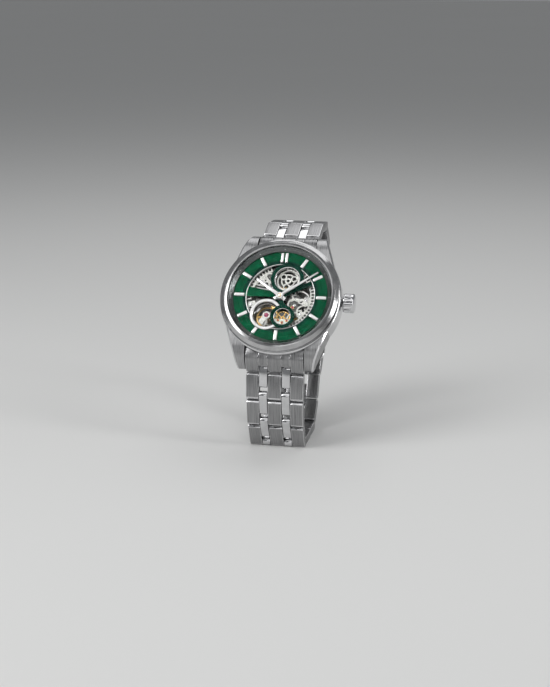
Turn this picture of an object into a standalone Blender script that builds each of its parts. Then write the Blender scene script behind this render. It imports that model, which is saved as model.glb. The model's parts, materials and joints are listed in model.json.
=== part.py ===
"""A skeleton wristwatch on a steel bracelet, standing on its closed bracelet.

Metres in Blender, millimetres in this file. World X runs to the wearer's three o'clock, -Y to the
front and +Z up. The head (case, dial and movement) is built in its own frame: x to three o'clock,
y to twelve o'clock, z out of the dial, with the dial's face at z = 0.
"""
import math

import bmesh
import bpy
import numpy as np
from mathutils import Matrix, Vector

MM = 0.001

# Pose of the head
DIAL_LEAN = 35.0            # how far the dial leans back from upright, degrees

# Case, bezel and glass
CASE_R = 20.5
CASE_TOP = 0.3
CASE_BOTTOM = -7.2
CASE_WALL = 3.5
BEZEL_STEP = 0.3            # the case stands out this far past the bezel
BEZEL_WIDTH = 2.8
BEZEL_HIGH = 2.45           # above the case
GLASS_SUNK = 0.95           # underside of the glass, below the bezel's top
CRYSTAL_THICK = 1.0
CRYSTAL_DOME = 0.25
BACK_STEP = 1.5             # the case stands out this far past the back
BACK_DEPTH = 1.7
BACK_WIDTH = 6.8
BACK_GLASS_THICK = 0.9
BACK_LIP = 0.6
BORE_R = CASE_R - CASE_WALL
BEZEL_R = CASE_R - BEZEL_STEP
BEZEL_OPEN_R = BEZEL_R - BEZEL_WIDTH
BEZEL_TOP = CASE_TOP + BEZEL_HIGH
CRYSTAL_LOW = BEZEL_TOP - GLASS_SUNK
BACK_R = CASE_R - BACK_STEP
BACK_OPEN_R = BACK_R - BACK_WIDTH
FIT = 0.08                  # gap between pieces that are fitted and stay put
RUN = 0.12                  # gap between pieces that turn or slide

# Lugs and spring bars
LUG_GAP = 20.2              # between the lugs of a pair
LUG_THICK = 2.7             # at the tip
LUG_FLARE = 28.0            # where a lug's outer side leaves the case, degrees from three o'clock
LUG_OUT = 3.5               # reach of a lug past the case
LUG_DROP = 7.3
BAR_R = 0.7
BAR_OUT = 1.3               # spring bar, past the case
BAR_Z = -4.1

# Crown and stem
CROWN_R = 3.2
CROWN_LEN = 3.9
CROWN_FLUTES = 16
CROWN_FLUTE_DEPTH = 0.28
CROWN_PULL = 1.0
CROWN_Z = -3.4
CROWN_GAP = 0.35
STEM_R = 0.6
STEM_INNER_X = 9.6
TUBE_R = 1.3
TUBE_OUT = 1.3

# Dial
DIAL_PLAY = 0.1
DIAL_R = BORE_R - DIAL_PLAY
DIAL_THICK = 0.4
DIAL_WIDTH = 5.3            # of the annulus
DIAL_OPEN_R = DIAL_R - DIAL_WIDTH
FLANGE_WIDTH = 1.05
FLANGE_IN_R = BORE_R - FLANGE_WIDTH
FLANGE_THICK = 0.5
MARKER_INSET = 0.6          # from the annulus's opening
MARKER_EDGE = 0.35          # from the flange
MARKER_IN_R = DIAL_OPEN_R + MARKER_INSET
MARKER_OUT_R = FLANGE_IN_R - MARKER_EDGE
MARKER_WIDTH = 1.05
MARKER_HIGH = 0.5
TWIN_GAP = 0.5              # between the two batons at twelve
TOP_RING = (1.7, 6.4)
TOP_RING_OUT = 5.6
TOP_RING_IN = 4.3
LOW_RING = (1.5, -7.2)
LOW_RING_OUT = 4.1
LOW_RING_IN = 2.9
LOW_RING_THICK = 0.16
HEART = (-4.1, -6.5)        # axis of the balance, at lower left
HEART_RING_OUT = 5.5
HEART_RING_IN = 4.4
HEART_RING_TOP = 0.14
HUB_R = 2.1
HUB_BORE = 1.55
NINE_BAR_WIDTHS = (1.9, 3.6)  # at the hub and at the annulus
NINE_BAR_Y = (0.7, 1.5)
TWO_BAR_WIDTH = 1.5
ARM_WIDTH = 1.84

# Hands
HOUR_LEN = 10.3
MINUTE_LEN = 14.9
HOUR_WIDTH = 1.5
MINUTE_WIDTH = 1.3
HAND_THICK = 0.28
HOUR_Z = 0.46
MINUTE_Z = 0.97
HOUR_AT = 304.5             # clockwise from twelve, degrees: nine past ten
MINUTE_AT = 54.0
PIPE_R = 1.3
PIPE_BORE = 0.75
ARBOR_R = 0.6

# Movement: plates
MOVEMENT_R = 12.2
HOLDER_LOW = -5.4
PLATE_TOP = -1.5
PLATE_THICK = 0.8
BRIDGE_TOP = -5.3
BRIDGE_THICK = 0.8
PIVOT_R = 0.25

# Movement: wheels, as tooth counts and places
BARREL_TEETH = 42
CENTRE_LEAVES = 10
CENTRE_TEETH = 32
THIRD_LEAVES = 8
THIRD_TEETH = 30
FOURTH_LEAVES = 8
FOURTH_TEETH = 30
ESCAPE_LEAVES = 6
ESCAPE_TEETH = 12
ESCAPE_R = 1.35
THIRD_AT = (4.3, -3.2)
ESCAPE_AT = (-0.8, -9.8)
WHEEL_THICK = 0.3
CENTRE_Z = -2.75
THIRD_Z = -3.5
FOURTH_Z = -4.3
ESCAPE_Z = -5.0
BARREL_Z = -4.6
DRUM_TOP = -2.95
RATCHET_R = 3.4
RATCHET_TEETH = 24
RATCHET_Z = -6.55
FORK_LEN = 1.6
FORK_SHARE = 0.52           # where the fork turns, between escape wheel and balance
BALANCE_R = 3.8
BALANCE_RIM = 0.55
BALANCE_Z = -3.6
BALANCE_THICK = 0.45
COCK_DROP = 0.46            # top of the cock, below the dial
STAFF_R = 0.3
COLLET_R = 0.55
SPRING_Z = -2.55
SPRING_WIRE_R = 0.06
SPRING_PITCH = 0.6
SPRING_TURNS = 3.75
SPRING_POINTS = 10          # on each turn
JEWEL_R = 0.75
ROTOR_CLEAR = 0.6           # the rotor stays this far inside the plates
ROTOR_R = MOVEMENT_R - ROTOR_CLEAR
ROTOR_Z = -7.1
ROTOR_THICK = 0.4
ROTOR_RIM = 1.2
ROTOR_HUB = 2.2

# Bracelet
PITCH = 9.3
LINK_THICK = 3.0
WIDTH_AT_LUG = 19.6
WIDTH_AT_CLASP = 18.0
SIDE_SHARE = 0.225          # of the width: one outer wide column
NARROW_SHARE = 0.155        # one narrow column
LINK_GAP = 0.25             # between one row and the next
TONGUE_SIDE = 0.15          # each side of a tongue in its slot
PIN_R = 0.5
EYE_GAP = 0.12
LINK_BEVEL = 0.35
STEP_DOWN = 0.1             # tongues lie this much below the wide rows
FIRST_PIN_OUT = 2.6         # pin of an end link, past the case
FIRST_PIN_Z = -6.6
UPPER_ANGLES = (20.0, -4.0, -50.0, -82.0, -98.0, -106.0)
LOWER_ANGLES = (-96.0, -82.0, -64.0, 0.0, 0.0, 42.0, 62.0)
END_LINK_OVER = 1.9         # top of an end link, above its spring bar
CLASP_ANGLE = -125.0
FLAT_LINKS = (3, 4)         # the lower links that lie on the table

# Clasp
CLASP_LEN = 21.0
COVER_THICK = 0.9
COVER_CROWN = 1.2
COVER_END_Z = 1.4
COVER_WALL = 0.9
COVER_WALL_LOW = -2.3
BLADE_WIDTH = 11.6
BLADE_THICK = 0.8
OUTER_BLADE_Z = -0.9
INNER_BLADE_Z = -2.3
HINGE_R = 0.85
HINGE_PIN_R = 0.45
COVER_PIN_BACK = 1.6        # from the cover's lower end to its blade's pin
BLADE_PIN_Y = 4.2
BLADE_PIN_Z = -1.85
EAR_WIDTH = 1.5
BUTTON_LEN = 8.5
BUTTON_HIGH = 1.4
BUTTON_Z = -0.65
BUTTON_PROUD = 0.8
BUTTON_IN = 2.2
BUTTON_PLAY = 0.15
CATCH_R = 1.1
CATCH_X = 3.5
CATCH_HIGH = 0.45
END_GAP = 0.4               # between the clasp and the lower end link

ROUND = 36                  # facets of a large turned form
SMALL_ROUND = 14


def clear_scene():
    for thing in list(bpy.data.objects):
        bpy.data.objects.remove(thing)


def make_material(name, colour, metallic, roughness, transmission=0.0):
    material = bpy.data.materials.new(name)
    material.use_nodes = True
    shader = material.node_tree.nodes["Principled BSDF"]
    shader.inputs["Base Color"].default_value = (*colour, 1.0)
    shader.inputs["Metallic"].default_value = metallic
    shader.inputs["Roughness"].default_value = roughness
    shader.inputs["Transmission Weight"].default_value = transmission
    return material


# Forms

def tidy(bm):
    bmesh.ops.remove_doubles(bm, verts=bm.verts, dist=1e-8)
    bmesh.ops.recalc_face_normals(bm, faces=bm.faces)
    return bm


def lathe(profile, steps=ROUND):
    """A solid turned about z from a closed list of (radius, height) points."""
    bm = bmesh.new()
    verts = [bm.verts.new((r * MM, 0.0, z * MM)) for r, z in profile]
    pairs = zip(range(len(profile)), list(range(1, len(profile))) + [0])
    edges = []
    for a, b in pairs:
        if profile[a][0] > 0 or profile[b][0] > 0:
            edges.append(bm.edges.new((verts[a], verts[b])))
    bmesh.ops.spin(bm, geom=verts + edges, cent=(0, 0, 0), axis=(0, 0, 1), angle=2 * math.pi,
                   steps=steps, use_merge=True)
    bmesh.ops.remove_doubles(bm, verts=bm.verts, dist=1e-8)
    bmesh.ops.dissolve_degenerate(bm, dist=1e-9, edges=bm.edges)
    return tidy(bm)


def disc(radius, low, high, steps=SMALL_ROUND, centre=(0.0, 0.0)):
    bm = lathe([(0, low), (radius, low), (radius, high), (0, high)], steps)
    bmesh.ops.translate(bm, verts=bm.verts, vec=(centre[0] * MM, centre[1] * MM, 0))
    return bm


def plate(outline, low, high, holes=(), along="z"):
    """A flat piece between low and high. With along="x" the outline is a side view in (y, z)."""
    def point(u, v, w):
        return Vector((w, u, v) if along == "x" else (u, v, w)) * MM

    bm = bmesh.new()
    caps = ([], [])
    for loop in (outline, *holes):
        rings = [[bm.verts.new(point(u, v, w)) for u, v in loop] for w in (low, high)]
        for i in range(len(loop)):
            j = (i + 1) % len(loop)
            bm.faces.new((rings[0][i], rings[0][j], rings[1][j], rings[1][i]))
        for cap, ring in zip(caps, rings):
            cap.append(ring)
    for cap in caps:
        if holes:
            edges = [bm.edges.get((ring[i - 1], ring[i])) for ring in cap for i in range(len(ring))]
            bmesh.ops.triangle_fill(bm, use_beauty=True, edges=edges)
        else:
            bm.faces.new(cap[0])
    return tidy(bm)


def circle(centre, radius, count=SMALL_ROUND, start=0.0):
    return arc(centre, radius, start, start + 360.0 * (count - 1) / count, count)


def arc(centre, radius, start, end, count):
    turns = np.radians(np.linspace(start, end, count))
    return [(centre[0] + radius * math.cos(t), centre[1] + radius * math.sin(t)) for t in turns]


def at_angle(radius, degrees):
    return arc((0, 0), radius, degrees, degrees, 1)[0]


def box(x, y, z):
    return plate([(x[0], y[0]), (x[1], y[0]), (x[1], y[1]), (x[0], y[1])], z[0], z[1])


def together(*pieces):
    """Several separate closed forms as one operand."""
    whole = bmesh.new()
    for piece in pieces:
        mesh = bpy.data.meshes.new("piece")
        piece.to_mesh(mesh)
        piece.free()
        whole.from_mesh(mesh)
        bpy.data.meshes.remove(mesh)
    return whole


def shifted(bm, matrix):
    bmesh.ops.transform(bm, matrix=matrix, verts=bm.verts)
    return bm


def as_object(name, bm):
    mesh = bpy.data.meshes.new(name)
    bm.to_mesh(mesh)
    bm.free()
    thing = bpy.data.objects.new(name, mesh)
    bpy.context.collection.objects.link(thing)
    return thing


def shaped(base, *steps):
    """The base form after each (operation, form) step, as a form again."""
    target = as_object("shaping", base)
    tools = []
    for operation, form in steps:
        tool = as_object("tool", form)
        cut = target.modifiers.new(operation.lower(), "BOOLEAN")
        cut.operation = operation
        cut.solver = "EXACT"
        cut.object = tool
        tools.append(tool)
    bpy.context.view_layer.update()
    seen = target.evaluated_get(bpy.context.evaluated_depsgraph_get())
    bm = bmesh.new()
    bm.from_mesh(seen.to_mesh())
    seen.to_mesh_clear()
    for thing in (target, *tools):
        bpy.data.objects.remove(thing)
    bmesh.ops.dissolve_limit(bm, angle_limit=0.002, verts=bm.verts, edges=bm.edges)
    return bm


def add(name, bm, material, parent=None, place=None):
    thing = as_object(name, bm)
    thing.data.materials.append(material)
    thing.parent = parent
    if place is not None:
        thing.matrix_local = place
    return thing


def about(x, y, z=0.0):
    return Matrix.Translation((x * MM, y * MM, z * MM))


# Wheels

def tooth_ring(teeth, module, phase):
    """Outline of a toothed wheel with a tooth centred on the phase angle, in degrees."""
    pitch_r = module * teeth / 2
    step = 360.0 / teeth
    root, tip = pitch_r - 1.05 * module, pitch_r + 0.75 * module
    points = []
    for k in range(teeth):
        middle = phase + k * step
        for radius, side in ((root, -0.27), (tip, -0.11), (tip, 0.11), (root, 0.27)):
            turn = math.radians(middle + side * step)
            points.append((radius * math.cos(turn), radius * math.sin(turn)))
    return points


def apart(a, b):
    return math.hypot(b[0] - a[0], b[1] - a[1])


def toward(a, b):
    return math.degrees(math.atan2(b[1] - a[1], b[0] - a[0]))


def module_for(a, b, teeth_a, teeth_b):
    return 2 * apart(a, b) / (teeth_a + teeth_b)


def spoke_windows(inner, outer, count, spoke, start=0.0):
    """Windows between the spokes of a wheel, as ring sectors."""
    windows = []
    for k in range(count):
        middle = start + 360.0 * (k + 0.5) / count
        half = 180.0 / count
        wide = half - math.degrees(spoke / 2 / outer)
        near = half - math.degrees(spoke / 2 / inner)
        windows.append(arc((0, 0), outer, middle - wide, middle + wide, 5)
                       + arc((0, 0), inner, middle + near, middle - near, 3))
    return windows


def wheel_form(teeth, module, phase, low, spokes):
    rim = module * (teeth / 2 - 1.05) - 0.45
    windows = spoke_windows(rim * 0.36, rim, spokes, 0.5)
    return plate(tooth_ring(teeth, module, phase), low, low + WHEEL_THICK, windows)


def arbor_form(radius, low, high):
    return disc(radius, low, high, 12)


# Bracelet

def columns(width):
    """Middle and width of the right narrow column, and the edges of the wide ones."""
    side, narrow = SIDE_SHARE * width, NARROW_SHARE * width
    centre_half = width / 2 - side - narrow
    return centre_half, centre_half + narrow, width / 2


def both_sides(low, high):
    return ((-high, -low), (low, high))


def row_profile(near, far):
    """Side view of a wide row: bevelled at the near end, round about the pin at the far end."""
    half, b = LINK_THICK / 2, LINK_BEVEL
    return ([(near, -half)] + arc((far, 0), half, -90, 90, 6)
            + [(near + b, half), (near, half - b)])


def tongue_profile(reach):
    half = LINK_THICK / 2 - STEP_DOWN
    return arc((0, 0), half, 90, 270, 6) + [(reach, -half), (reach, half)]


def tongues(width_before, reach):
    """Two tongues with eyes for the pin of the row before."""
    inner, outer, _ = columns(width_before)
    eye = circle((0, 0), PIN_R + EYE_GAP, 8)
    return together(*[plate(tongue_profile(reach), low + TONGUE_SIDE, high - TONGUE_SIDE, [eye], "x")
                      for low, high in both_sides(inner, outer)])


def pins(width, y=0.0, z=0.0):
    """The stretches of a pin that show in the two slots of a row."""
    inner, outer, _ = columns(width)
    bite = 0.4
    return together(*[plate(circle((y, z), PIN_R, 6), low - bite, high + bite, along="x")
                      for low, high in both_sides(inner, outer)])


def link_form(width, width_before):
    half = LINK_THICK / 2
    near, slot = half + LINK_GAP, PITCH - half - LINK_GAP
    inner, outer, edge = columns(width)
    rows = together(*[plate(row_profile(near, PITCH), low, high, along="x")
                      for low, high in ((-edge, -outer), (-inner, inner), (outer, edge))])
    fill_half = half - 2 * STEP_DOWN
    spread = math.degrees(math.asin(fill_half / (half + LINK_GAP)))
    hollow = arc((PITCH, 0), half + LINK_GAP, 180 + spread, 180 - spread, 3)
    fill = [(near + LINK_BEVEL, fill_half), (near + LINK_BEVEL, -fill_half)] + hollow
    fillers = together(*[plate(fill, low - STEP_DOWN, high + STEP_DOWN, along="x")
                         for low, high in both_sides(inner, outer)])
    return shaped(rows, ("UNION", fillers), ("UNION", tongues(width_before, slot / 2)),
                  ("UNION", pins(width, PITCH)))


def heading(angle):
    return np.array([math.cos(math.radians(angle)), math.sin(math.radians(angle))])


def chain(start, angles):
    """Pivots of a chain in the (y, z) side view."""
    points = [np.array(start, float)]
    for angle in angles:
        points.append(points[-1] + PITCH * heading(angle))
    return points


def head_to_side(y, z):
    """A place in the head's (y, z) as seen from the side, from the dial's centre."""
    up = heading(90.0 - DIAL_LEAN)
    out = np.array([-up[1], up[0]])
    return y * up + z * out


def closed_angles(start, target):
    """The lower links' angles that bring the last pin to the clasp, with the flat links kept flat."""
    front = np.array([1.0 if i < min(FLAT_LINKS) else 0.0 for i in range(len(LOWER_ANGLES))])
    back = np.array([1.0 if i > max(FLAT_LINKS) else 0.0 for i in range(len(LOWER_ANGLES))])
    bend = np.zeros(2)

    def miss(b):
        return chain(start, np.array(LOWER_ANGLES) + b[0] * front + b[1] * back)[-1] - target

    for _ in range(30):
        step = 1e-4
        slope = np.column_stack([(miss(bend + step * e) - miss(bend)) / step for e in np.eye(2)])
        bend = bend - np.clip(np.linalg.solve(slope, miss(bend)), -6, 6)
    print("bracelet closes within %.5f mm, bends %.2f and %.2f degrees"
          % (np.hypot(*miss(bend)), bend[0], bend[1]))
    return np.array(LOWER_ANGLES) + bend[0] * front + bend[1] * back


def side_place(pivot, angle, outward_left):
    """Placement of a piece whose y runs along the chain and whose z points out of the loop."""
    along = heading(angle)
    out = np.array([-along[1], along[0]]) * (1 if outward_left else -1)
    across = 1.0 if outward_left else -1.0
    return Matrix(((across, 0, 0, 0), (0, along[0], out[0], pivot[0] * MM),
                   (0, along[1], out[1], pivot[1] * MM), (0, 0, 0, 1)))


clear_scene()

STEEL = make_material("brushed_steel", (0.62, 0.62, 0.63), 1.0, 0.32)
POLISHED = make_material("polished_steel", (0.78, 0.78, 0.79), 1.0, 0.12)
DARK_STEEL = make_material("dark_steel", (0.30, 0.31, 0.32), 1.0, 0.35)
GREEN = make_material("green_dial", (0.035, 0.16, 0.075), 0.35, 0.35)
GREY = make_material("grey_flange", (0.06, 0.065, 0.065), 0.3, 0.45)
SILVER = make_material("silver_plate", (0.70, 0.70, 0.68), 1.0, 0.30)
GOLD = make_material("gilt_brass", (0.80, 0.58, 0.28), 1.0, 0.25)
RUBY = make_material("ruby", (0.75, 0.06, 0.18), 0.0, 0.10)
GLASS = make_material("sapphire", (0.95, 0.97, 0.97), 0.0, 0.02, 1.0)

FIRST_PIN_Y = CASE_R + FIRST_PIN_OUT
BAR_Y = CASE_R + BAR_OUT
LUG_REACH = CASE_R + LUG_OUT

# Where everything stands: the loop is drawn from the dial's centre, then set on the table
lower_start = head_to_side(-FIRST_PIN_Y, FIRST_PIN_Z)
upper_start = head_to_side(FIRST_PIN_Y, FIRST_PIN_Z)
upper_points = chain(upper_start, UPPER_ANGLES)
clasp_along = heading(CLASP_ANGLE)
clasp_out = np.array([-clasp_along[1], clasp_along[0]])
LAST_PIN_Y = CLASP_LEN + END_GAP + LINK_THICK / 2
lower_end = upper_points[-1] + LAST_PIN_Y * clasp_along + OUTER_BLADE_Z * clasp_out
lower_angles = closed_angles(lower_start, lower_end)
lower_points = chain(lower_start, lower_angles)
flat_start = LINK_THICK / 2 + LINK_GAP + LINK_BEVEL
flat_y = lower_points[FLAT_LINKS[0]][0] + (flat_start + PITCH) / 2
flat_z = lower_points[FLAT_LINKS[0]][1] - LINK_THICK / 2
dial_centre = np.array([-flat_y, -flat_z])
upper_points = [p + dial_centre for p in upper_points]
lower_points = [p + dial_centre for p in lower_points]

head = bpy.data.objects.new("head_frame", None)
bpy.context.collection.objects.link(head)
head.location = (0, dial_centre[0] * MM, dial_centre[1] * MM)
head.rotation_euler = (math.radians(90.0 - DIAL_LEAN), 0, 0)

# Case, with four lugs and the crown's bore
lug_low, lug_high = LUG_GAP / 2, LUG_GAP / 2 + LUG_THICK
lug_root = math.sqrt(BORE_R ** 2 - lug_low ** 2) + 0.9
flare_out = at_angle(CASE_R - 0.4, LUG_FLARE)
flare_in = at_angle(BORE_R + 0.9, LUG_FLARE)
side_root = flare_in[1] - 0.5
lug_side = [(side_root, CASE_TOP - 0.3), (LUG_REACH - 6.5, CASE_TOP - 0.4), (LUG_REACH - 3.0, CASE_TOP - 1.8),
            (LUG_REACH - 0.8, CASE_TOP - 4.3), (LUG_REACH, 1.0 - LUG_DROP), (LUG_REACH - 0.7, -LUG_DROP),
            (LUG_REACH - 2.4, 0.4 - LUG_DROP), (LUG_REACH - 6.0, CASE_BOTTOM + 0.6),
            (side_root, CASE_BOTTOM + 0.6)]
lug_plan = [(lug_low, lug_root), flare_in, flare_out, (lug_high, LUG_REACH), (lug_high, LUG_REACH + 1.0),
            (lug_low, LUG_REACH + 1.0)]


def lug_form(side, end):
    """A lug: its side view, cut to a plan whose outer side runs to the case at a slant."""
    view = plate([(end * y, z) for y, z in lug_side], *sorted((side * lug_low, side * CASE_R)), along="x")
    plan = plate([(side * x, end * y) for x, y in lug_plan], CASE_BOTTOM - 2.0, CASE_TOP + 1.0)
    return shaped(view, ("INTERSECT", plan))


lugs = together(*[lug_form(side, end) for side in (1, -1) for end in (1, -1)])
case_ring = lathe([(BORE_R, CASE_BOTTOM), (CASE_R - 0.9, CASE_BOTTOM), (CASE_R, CASE_BOTTOM + 0.9),
                   (CASE_R, CASE_TOP - 0.5), (CASE_R - 0.5, CASE_TOP), (BORE_R, CASE_TOP)])
to_crown = Matrix.Rotation(math.radians(90), 4, "Y")
crown_axis = Matrix.Translation((0, 0, CROWN_Z * MM)) @ to_crown
tube_bore = shifted(disc(TUBE_R + FIT, BORE_R - 1.5, CASE_R + 1.0), crown_axis)
case_form = shaped(case_ring, ("UNION", lugs), ("DIFFERENCE", tube_bore))
add("case_body", case_form, STEEL, head)

bezel_low = CASE_TOP + FIT
add("bezel", lathe([(BEZEL_OPEN_R, bezel_low), (BEZEL_R - 0.2, bezel_low), (BEZEL_R, bezel_low + 0.2),
                    (BEZEL_R, BEZEL_TOP - 1.6), (BEZEL_R - 0.5, BEZEL_TOP - 1.4),
                    (BEZEL_R - 1.4, BEZEL_TOP - 0.15), (BEZEL_R - 1.8, BEZEL_TOP),
                    (BEZEL_OPEN_R + 0.25, BEZEL_TOP), (BEZEL_OPEN_R, BEZEL_TOP - 0.25)]), POLISHED, head)
crystal_r = BEZEL_OPEN_R - FIT
crystal_top = CRYSTAL_LOW + CRYSTAL_THICK
add("crystal", lathe([(0, CRYSTAL_LOW), (crystal_r, CRYSTAL_LOW), (crystal_r, crystal_top - 0.2),
                      (crystal_r - 0.3, crystal_top), (crystal_r * 0.5, crystal_top + CRYSTAL_DOME * 0.75),
                      (0, crystal_top + CRYSTAL_DOME)]), GLASS, head)
flange_out = BORE_R - FIT
flange_low = FIT
flange_high = CRYSTAL_LOW - FIT
add("flange_ring", lathe([(FLANGE_IN_R, flange_low), (flange_out, flange_low), (flange_out, flange_high),
                          (flange_out - FLANGE_THICK, flange_high),
                          (FLANGE_IN_R, flange_low + FLANGE_THICK)]), GREY, head)

back_low = CASE_BOTTOM - BACK_DEPTH
back_seat = back_low + BACK_LIP
glass_r = BACK_OPEN_R + 1.0
add("case_back", lathe([(BACK_OPEN_R, back_low), (BACK_R - 1.2, back_low), (BACK_R, back_low + 0.8),
                        (BACK_R, CASE_BOTTOM - FIT), (glass_r + FIT, CASE_BOTTOM - FIT),
                        (glass_r + FIT, back_seat), (BACK_OPEN_R, back_seat)]), STEEL, head)
add("back_glass", disc(glass_r, back_seat + FIT, back_seat + FIT + BACK_GLASS_THICK, ROUND), GLASS, head)

# Crown, stem and tube
tube_out = CASE_R + TUBE_OUT
tube_form = lathe([(STEM_R + RUN, BORE_R + FIT), (TUBE_R, BORE_R + FIT), (TUBE_R, tube_out),
                   (STEM_R + RUN, tube_out)], SMALL_ROUND)
add("crown_tube", tube_form, DARK_STEEL, head, crown_axis)
crown_in = CASE_R + CROWN_GAP
crown_out = crown_in + CROWN_LEN
stem_out = crown_out - 0.9
add("winding_stem", disc(STEM_R, STEM_INNER_X, stem_out, 16), DARK_STEEL, head, crown_axis)
flutes = []
for k in range(CROWN_FLUTES):
    for share, radius in ((0.0, CROWN_R), (0.5, CROWN_R), (0.62, CROWN_R - CROWN_FLUTE_DEPTH),
                          (0.88, CROWN_R - CROWN_FLUTE_DEPTH)):
        turn = 2 * math.pi * (k + share) / CROWN_FLUTES
        flutes.append((radius * math.cos(turn), radius * math.sin(turn)))
cap_low, cap_r = crown_out - 1.3, CROWN_R + 0.05
crown_cap = lathe([(0, cap_low), (cap_r, cap_low), (cap_r, crown_out - 0.45), (CROWN_R - 0.5, crown_out),
                   (0, crown_out + 0.12)], 24)
crown_socket = disc(TUBE_R + RUN, crown_in - 1.0, tube_out + CROWN_PULL * 0.3)
stem_socket = disc(STEM_R + FIT, crown_in - 1.0, stem_out + FIT, 16)
crown_form = shaped(plate(flutes, crown_in, crown_out - 1.0), ("UNION", crown_cap),
                    ("DIFFERENCE", crown_socket), ("DIFFERENCE", stem_socket))
add("crown", crown_form, POLISHED, head, crown_axis)

# Dial: annulus, two rings, two bars, an arm and the hub, with the markers on the annulus
centre = (0.0, 0.0)


def spoke(start, end, width, low, high):
    """A flat bar between two places."""
    turn = math.radians(toward(start, end))
    side = (-math.sin(turn) * width / 2, math.cos(turn) * width / 2)
    return plate([(start[0] - side[0], start[1] - side[1]), (end[0] - side[0], end[1] - side[1]),
                  (end[0] + side[0], end[1] + side[1]), (start[0] + side[0], start[1] + side[1])], low, high)


def ring(centre_at, outer, inner, low, high, count):
    return plate(circle(centre_at, outer, count), low, high, [circle(centre_at, inner, count)])


def at_clock(degrees, radius):
    turn = math.radians(90.0 - degrees)
    return (radius * math.cos(turn), radius * math.sin(turn))


dial_low = -DIAL_THICK
annulus = ring(centre, DIAL_R, DIAL_OPEN_R, dial_low, 0.0, ROUND)
step = 0.02
top_ring = ring(TOP_RING, TOP_RING_OUT, TOP_RING_IN, dial_low + step, -step, 26)
low_ring_low = HEART_RING_TOP + FIT
low_ring_top = low_ring_low + LOW_RING_THICK
low_ring = ring(LOW_RING, LOW_RING_OUT, LOW_RING_IN, low_ring_low, low_ring_top, 22)
hub = ring(centre, HUB_R, HUB_BORE, dial_low + 3 * step, low_ring_top - 2 * step, SMALL_ROUND)
rim_mid = (DIAL_OPEN_R + MARKER_IN_R) / 2
bar_root = -HUB_BORE - 0.25
(root_half, rim_half), (root_y, rim_y) = [w / 2 for w in NINE_BAR_WIDTHS], NINE_BAR_Y
nine_bar = plate([(-rim_mid, rim_y - rim_half), (bar_root, root_y - root_half),
                  (bar_root, root_y + root_half), (-rim_mid, rim_y + rim_half)],
                 dial_low + 4 * step, -4 * step)
two_bar = spoke(at_clock(62, HUB_BORE + 0.25), at_clock(62, rim_mid), TWO_BAR_WIDTH,
                dial_low + 5 * step, -5 * step)
arm_end = (LOW_RING[0], LOW_RING[1] + (LOW_RING_OUT + LOW_RING_IN) / 2)
low_arm = spoke((0.15, -HUB_BORE - 0.2), arm_end, ARM_WIDTH, low_ring_low + step, low_ring_top - step)
heart_hole = disc(HEART_RING_OUT + FIT, dial_low - 1.0, MARKER_HIGH + 1.0, 28, HEART)
marker_low = dial_low / 2
batons = []
for hour in range(1, 12):
    batons.append(spoke(at_clock(30 * hour, MARKER_IN_R), at_clock(30 * hour, MARKER_OUT_R),
                        MARKER_WIDTH, marker_low, MARKER_HIGH))
twin = (MARKER_WIDTH + TWIN_GAP) / 2
for side in (-twin, twin):
    batons.append(spoke((side, MARKER_IN_R), (side, MARKER_OUT_R), MARKER_WIDTH, marker_low, MARKER_HIGH))
dial_form = shaped(annulus, ("UNION", together(*batons)), ("DIFFERENCE", heart_hole), ("UNION", top_ring),
                   ("UNION", hub), ("UNION", nine_bar), ("UNION", two_bar), ("UNION", low_ring),
                   ("UNION", low_arm), ("DIFFERENCE", disc(HUB_BORE - 0.01, dial_low - 1.0, 1.0, 24)))
add("dial", dial_form, GREEN, head)
add("open_heart_ring", ring(HEART, HEART_RING_OUT, HEART_RING_IN, dial_low + step, HEART_RING_TOP, 28),
    POLISHED, head)

# Movement plates and holder
holder_in, holder_out = MOVEMENT_R + FIT, BORE_R - FIT
holder_form = lathe([(holder_in, HOLDER_LOW), (holder_out, HOLDER_LOW), (holder_out, dial_low - FIT),
                     (holder_in, dial_low - FIT)])
stem_bore = shifted(disc(STEM_R + RUN, MOVEMENT_R - 1.0, BORE_R + 1.0, 16), crown_axis)
add("movement_ring", shaped(holder_form, ("DIFFERENCE", stem_bore)), DARK_STEEL, head)
plate_low = PLATE_TOP - PLATE_THICK
plate_windows = [circle(TOP_RING, TOP_RING_IN, 24), circle(HEART, HEART_RING_IN - 0.2, 24),
                 circle(centre, ARBOR_R + RUN, 12), circle((7.6, 2.6), 2.3), circle((-6.6, 3.4), 2.7),
                 circle((5.6, -7.6), 2.0), circle((9.6, -2.4), 1.5, 12), circle((-9.6, -0.6), 1.2, 12)]
add("main_plate", plate(circle(centre, MOVEMENT_R, ROUND), plate_low, PLATE_TOP, plate_windows), SILVER, head)
bridge_low = BRIDGE_TOP - BRIDGE_THICK
bridge_windows = [circle((8.2, -6.4), 1.7, 12), circle((-7.2, 5.4), 2.4), circle((-9.0, -2.6), 1.6, 12),
                  circle((8.8, 1.4), 1.8, 12), circle((-4.0, -1.0), 1.5, 12),
                  circle(TOP_RING, ARBOR_R + RUN, 12)]
add("train_bridge", plate(circle(centre, MOVEMENT_R, ROUND), bridge_low, BRIDGE_TOP, bridge_windows), SILVER,
    head)

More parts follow.
